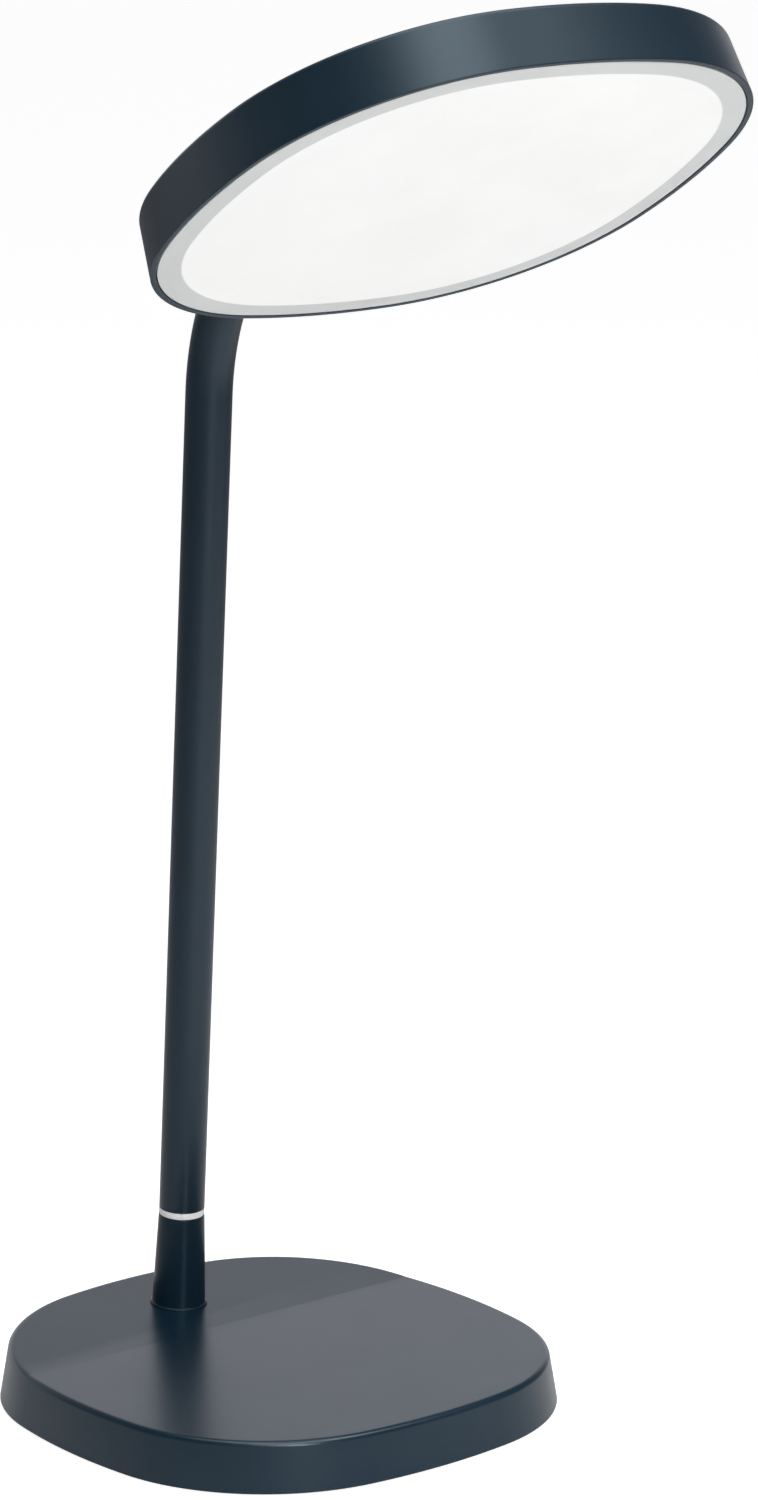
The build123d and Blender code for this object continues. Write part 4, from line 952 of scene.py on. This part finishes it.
def enamel_arc(outer, start, turn, steps):
    """A band of enamel round part of a circle, seen flat on the key, in edit mode."""
    low = KEY_FACE - ENGRAVED
    piece = new_point("enamel", (outer * cos(start), outer * sin(start), low))
    bpy.ops.mesh.extrude_region_move(TRANSFORM_OT_translate={
        "value": (-LINE * cos(start), -LINE * sin(start), 0)})
    bpy.ops.mesh.select_all(action="SELECT")
    bpy.ops.mesh.spin(steps=steps, angle=-turn, center=(0, 0, low), axis=(0, 0, 1))
    return piece


def enamel_bar(middle, length, turn=0.0):
    """A straight band of enamel, turned about the key's centre, in edit mode."""
    bpy.ops.object.select_all(action="DESELECT")
    bpy.ops.mesh.primitive_plane_add(size=1, location=(0, middle, KEY_FACE - ENGRAVED))
    piece = bpy.context.object
    piece.scale = (LINE - 2 * FILL_GAP, length - 2 * FILL_GAP, 1)
    bpy.ops.object.transform_apply(location=True, rotation=True, scale=True)
    lay_in_place(piece, Matrix.Rotation(turn, 4, "Z"))
    bpy.ops.object.mode_set(mode="EDIT")
    return piece


def raise_enamel(piece):
    """Gives the flat band its thickness."""
    bpy.ops.mesh.select_all(action="SELECT")
    bpy.ops.mesh.remove_doubles(threshold=WELD)
    bpy.ops.mesh.select_all(action="SELECT")
    bpy.ops.mesh.extrude_region_move(TRANSFORM_OT_translate={"value": (0, 0, FILL)})
    bpy.ops.mesh.select_all(action="SELECT")
    bpy.ops.mesh.normals_make_consistent(inside=False)
    bpy.ops.object.mode_set(mode="OBJECT")
    return piece


def join_symbol(name, parts, key_x, body):
    """Joins the bands of one symbol and lays them in the key."""
    symbol = join_up(parts)
    symbol.name = name
    bpy.ops.object.mode_set(mode="EDIT")
    finish_mesh(symbol, head_place @ Matrix.Translation((key_x, KEY_ROW, 0)))
    finish_in(symbol, enamel)
    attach(symbol, body)


gap_half = atan2(POWER_BREAK, ICON_RADIUS - LINE / 2) + BREAK_EXTRA
power_arc = enamel_arc(ICON_RADIUS - FILL_GAP, pi / 2 + gap_half, 2 * pi - 2 * gap_half, RING_STEPS)
join_symbol("power_symbol", [
    raise_enamel(power_arc),
    raise_enamel(enamel_bar(POWER_BAR_AT, ICON_RADIUS)),
], KEY_PLACES[0], "power_key")

join_symbol("brightness_symbol", [
    raise_enamel(enamel_arc(SUN_RADIUS - FILL_GAP, 0, 2 * pi, SUN_STEPS)),
] + [
    raise_enamel(enamel_bar(ICON_RADIUS, RAY_LENGTH, ray * 2 * pi / SUN_RAYS))
    for ray in range(SUN_RAYS)
], KEY_PLACES[1], "brightness_key")

join_symbol("colour_symbol", [
    raise_enamel(enamel_arc(ICON_RADIUS - FILL_GAP, 0, 2 * pi, RING_STEPS)),
], KEY_PLACES[2], "colour_key")


# ---- Studio
# A pale floor that runs out to a white horizon. One large soft box stands high in front,
# one hangs straight above and a weak one stands at the right. Two small strips light the
# edges low in front, and two narrow lamps the floor. The lens looks from the front left.

FLOOR_WIDTH = 60
FLOOR_GREY = (0.72, 0.72, 0.72, 1)
FLOOR_SEEN_GREY = (0.45, 0.45, 0.45, 1)
FLOOR_LIFT = 0.90
WHITE = (1, 1, 1, 1)

bpy.ops.object.select_all(action="DESELECT")
bpy.ops.mesh.primitive_plane_add(size=FLOOR_WIDTH, location=(0, 0, 0))
floor = bpy.context.object
floor.name = "floor"
floor_white = bpy.data.materials.new("floor_white")
floor_white.use_nodes = True
nodes, links = floor_white.node_tree.nodes, floor_white.node_tree.links
paper = nodes["Principled BSDF"]
paper.inputs["Base Color"].default_value = FLOOR_GREY
paper.inputs["Roughness"].default_value = 0.9
seen = nodes.new("ShaderNodeBsdfDiffuse")
seen.inputs["Color"].default_value = FLOOR_SEEN_GREY
lift = nodes.new("ShaderNodeEmission")
lift.inputs["Color"].default_value = WHITE
lift.inputs["Strength"].default_value = FLOOR_LIFT
both = nodes.new("ShaderNodeAddShader")
rays_in = nodes.new("ShaderNodeLightPath")
choose = nodes.new("ShaderNodeMixShader")
links.new(seen.outputs[0], both.inputs[0])
links.new(lift.outputs[0], both.inputs[1])
links.new(rays_in.outputs["Is Camera Ray"], choose.inputs[0])
links.new(paper.outputs[0], choose.inputs[1])
links.new(both.outputs[0], choose.inputs[2])
links.new(choose.outputs[0], nodes["Material Output"].inputs["Surface"])
floor.data.materials.append(floor_white)

# The room glows behind the lamp and near the horizon, and is dim in front and overhead.
ROOM_COLOUR = (0.97, 0.955, 1.0, 1)
DIM_FROM, DIM_TO = 0.30, 0.62
ROOM_GLOW, OVERHEAD_GLOW = 1.12, 0.35
BEHIND = (0.34, 0.94, 0)
BEHIND_FROM, BEHIND_TO = 0.65, 0.7
FRONT_SHARE, BEHIND_SHARE = 0.22, 1.0

room = bpy.data.worlds.new("white_room")
bpy.context.scene.world = room
room.use_nodes = True
nodes, links = room.node_tree.nodes, room.node_tree.links
light_of_room = nodes["Background"]
light_of_room.inputs["Color"].default_value = ROOM_COLOUR
way = nodes.new("ShaderNodeTexCoord")
parts = nodes.new("ShaderNodeSeparateXYZ")
fall = carry_over(nodes, DIM_FROM, DIM_TO, ROOM_GLOW, OVERHEAD_GLOW)
rear = nodes.new("ShaderNodeVectorMath")
rear.operation = "DOT_PRODUCT"
rear.inputs[1].default_value = BEHIND
share = carry_over(nodes, BEHIND_FROM, BEHIND_TO, FRONT_SHARE, BEHIND_SHARE)
level = nodes.new("ShaderNodeMath")
level.operation = "MULTIPLY"
links.new(way.outputs["Generated"], parts.inputs["Vector"])
links.new(parts.outputs["Z"], fall.inputs["Value"])
links.new(way.outputs["Generated"], rear.inputs[0])
links.new(rear.outputs["Value"], share.inputs["Value"])
links.new(fall.outputs["Result"], level.inputs[0])
links.new(share.outputs["Result"], level.inputs[1])
links.new(level.outputs["Value"], light_of_room.inputs["Strength"])
backdrop = nodes.new("ShaderNodeBackground")
backdrop.inputs["Color"].default_value = WHITE
backdrop.inputs["Strength"].default_value = 1.0
rays_in = nodes.new("ShaderNodeLightPath")
choose = nodes.new("ShaderNodeMixShader")
links.new(rays_in.outputs["Is Camera Ray"], choose.inputs[0])
links.new(light_of_room.outputs[0], choose.inputs[1])
links.new(backdrop.outputs[0], choose.inputs[2])
links.new(choose.outputs[0], nodes["World Output"].inputs["Surface"])


def soft_lamp(name, place, aim, width, height, power, spread=180):
    """A soft box that stands at a place and looks at another."""
    toward = Vector(place) - Vector(aim)
    bpy.ops.object.light_add(
        type="AREA", location=place, rotation=toward.to_track_quat("Z", "Y").to_euler())
    lamp = bpy.context.object
    lamp.name = name
    lamp.data.shape = "RECTANGLE"
    lamp.data.size = width
    lamp.data.size_y = height
    lamp.data.energy = power
    lamp.data.spread = radians(spread)


# Each lamp's name, place, aim, width, height and watts, and the narrow ones' spread in degrees.
LAMPS = (
    ("key_box", (-0.36, -0.78, 1.62), (0, -0.03, 0.25), 0.78, 1.05, 12.8),
    ("top_box", (0, 0.03, 1.40), (0, 0.05, 0.25), 0.95, 0.85, 7.7),
    ("right_box", (1.0, -0.85, 1.25), (0, -0.03, 0.25), 0.9, 0.9, 0.35),
    ("front_strip", (-0.44, -1.25, 0.47), (0, -0.03, 0.05), 0.10, 0.28, 3.5),
    ("low_strip", (-0.18, -1.28, 0.08), (0, -0.03, 0.08), 0.30, 0.12, 0.06),
    ("front_pool", (-0.35, -0.75, 0.50), (-0.10, -0.33, 0), 0.20, 0.20, 0.32, 60),
    ("floor_pool", (0.42, -0.55, 1.15), (0.42, -0.5501, 0), 0.5, 0.5, 2.8, 80),
)
for row in LAMPS:
    soft_lamp(*row)

EYE = (-0.992927, -1.271999, 0.582220)
LOOKS_DOWN = 12.3452  # degrees
LOOKS_RIGHT = 39.2126  # degrees
LENS = 78.52
FILM_HEIGHT = 24

bpy.ops.object.camera_add(
    location=EYE, rotation=(radians(90 - LOOKS_DOWN), 0, radians(-LOOKS_RIGHT)))
camera = bpy.context.object
camera.data.sensor_fit = "VERTICAL"
camera.data.sensor_height = FILM_HEIGHT
camera.data.lens = LENS
bpy.context.scene.camera = camera
bpy.context.scene.view_settings.view_transform = "Standard"
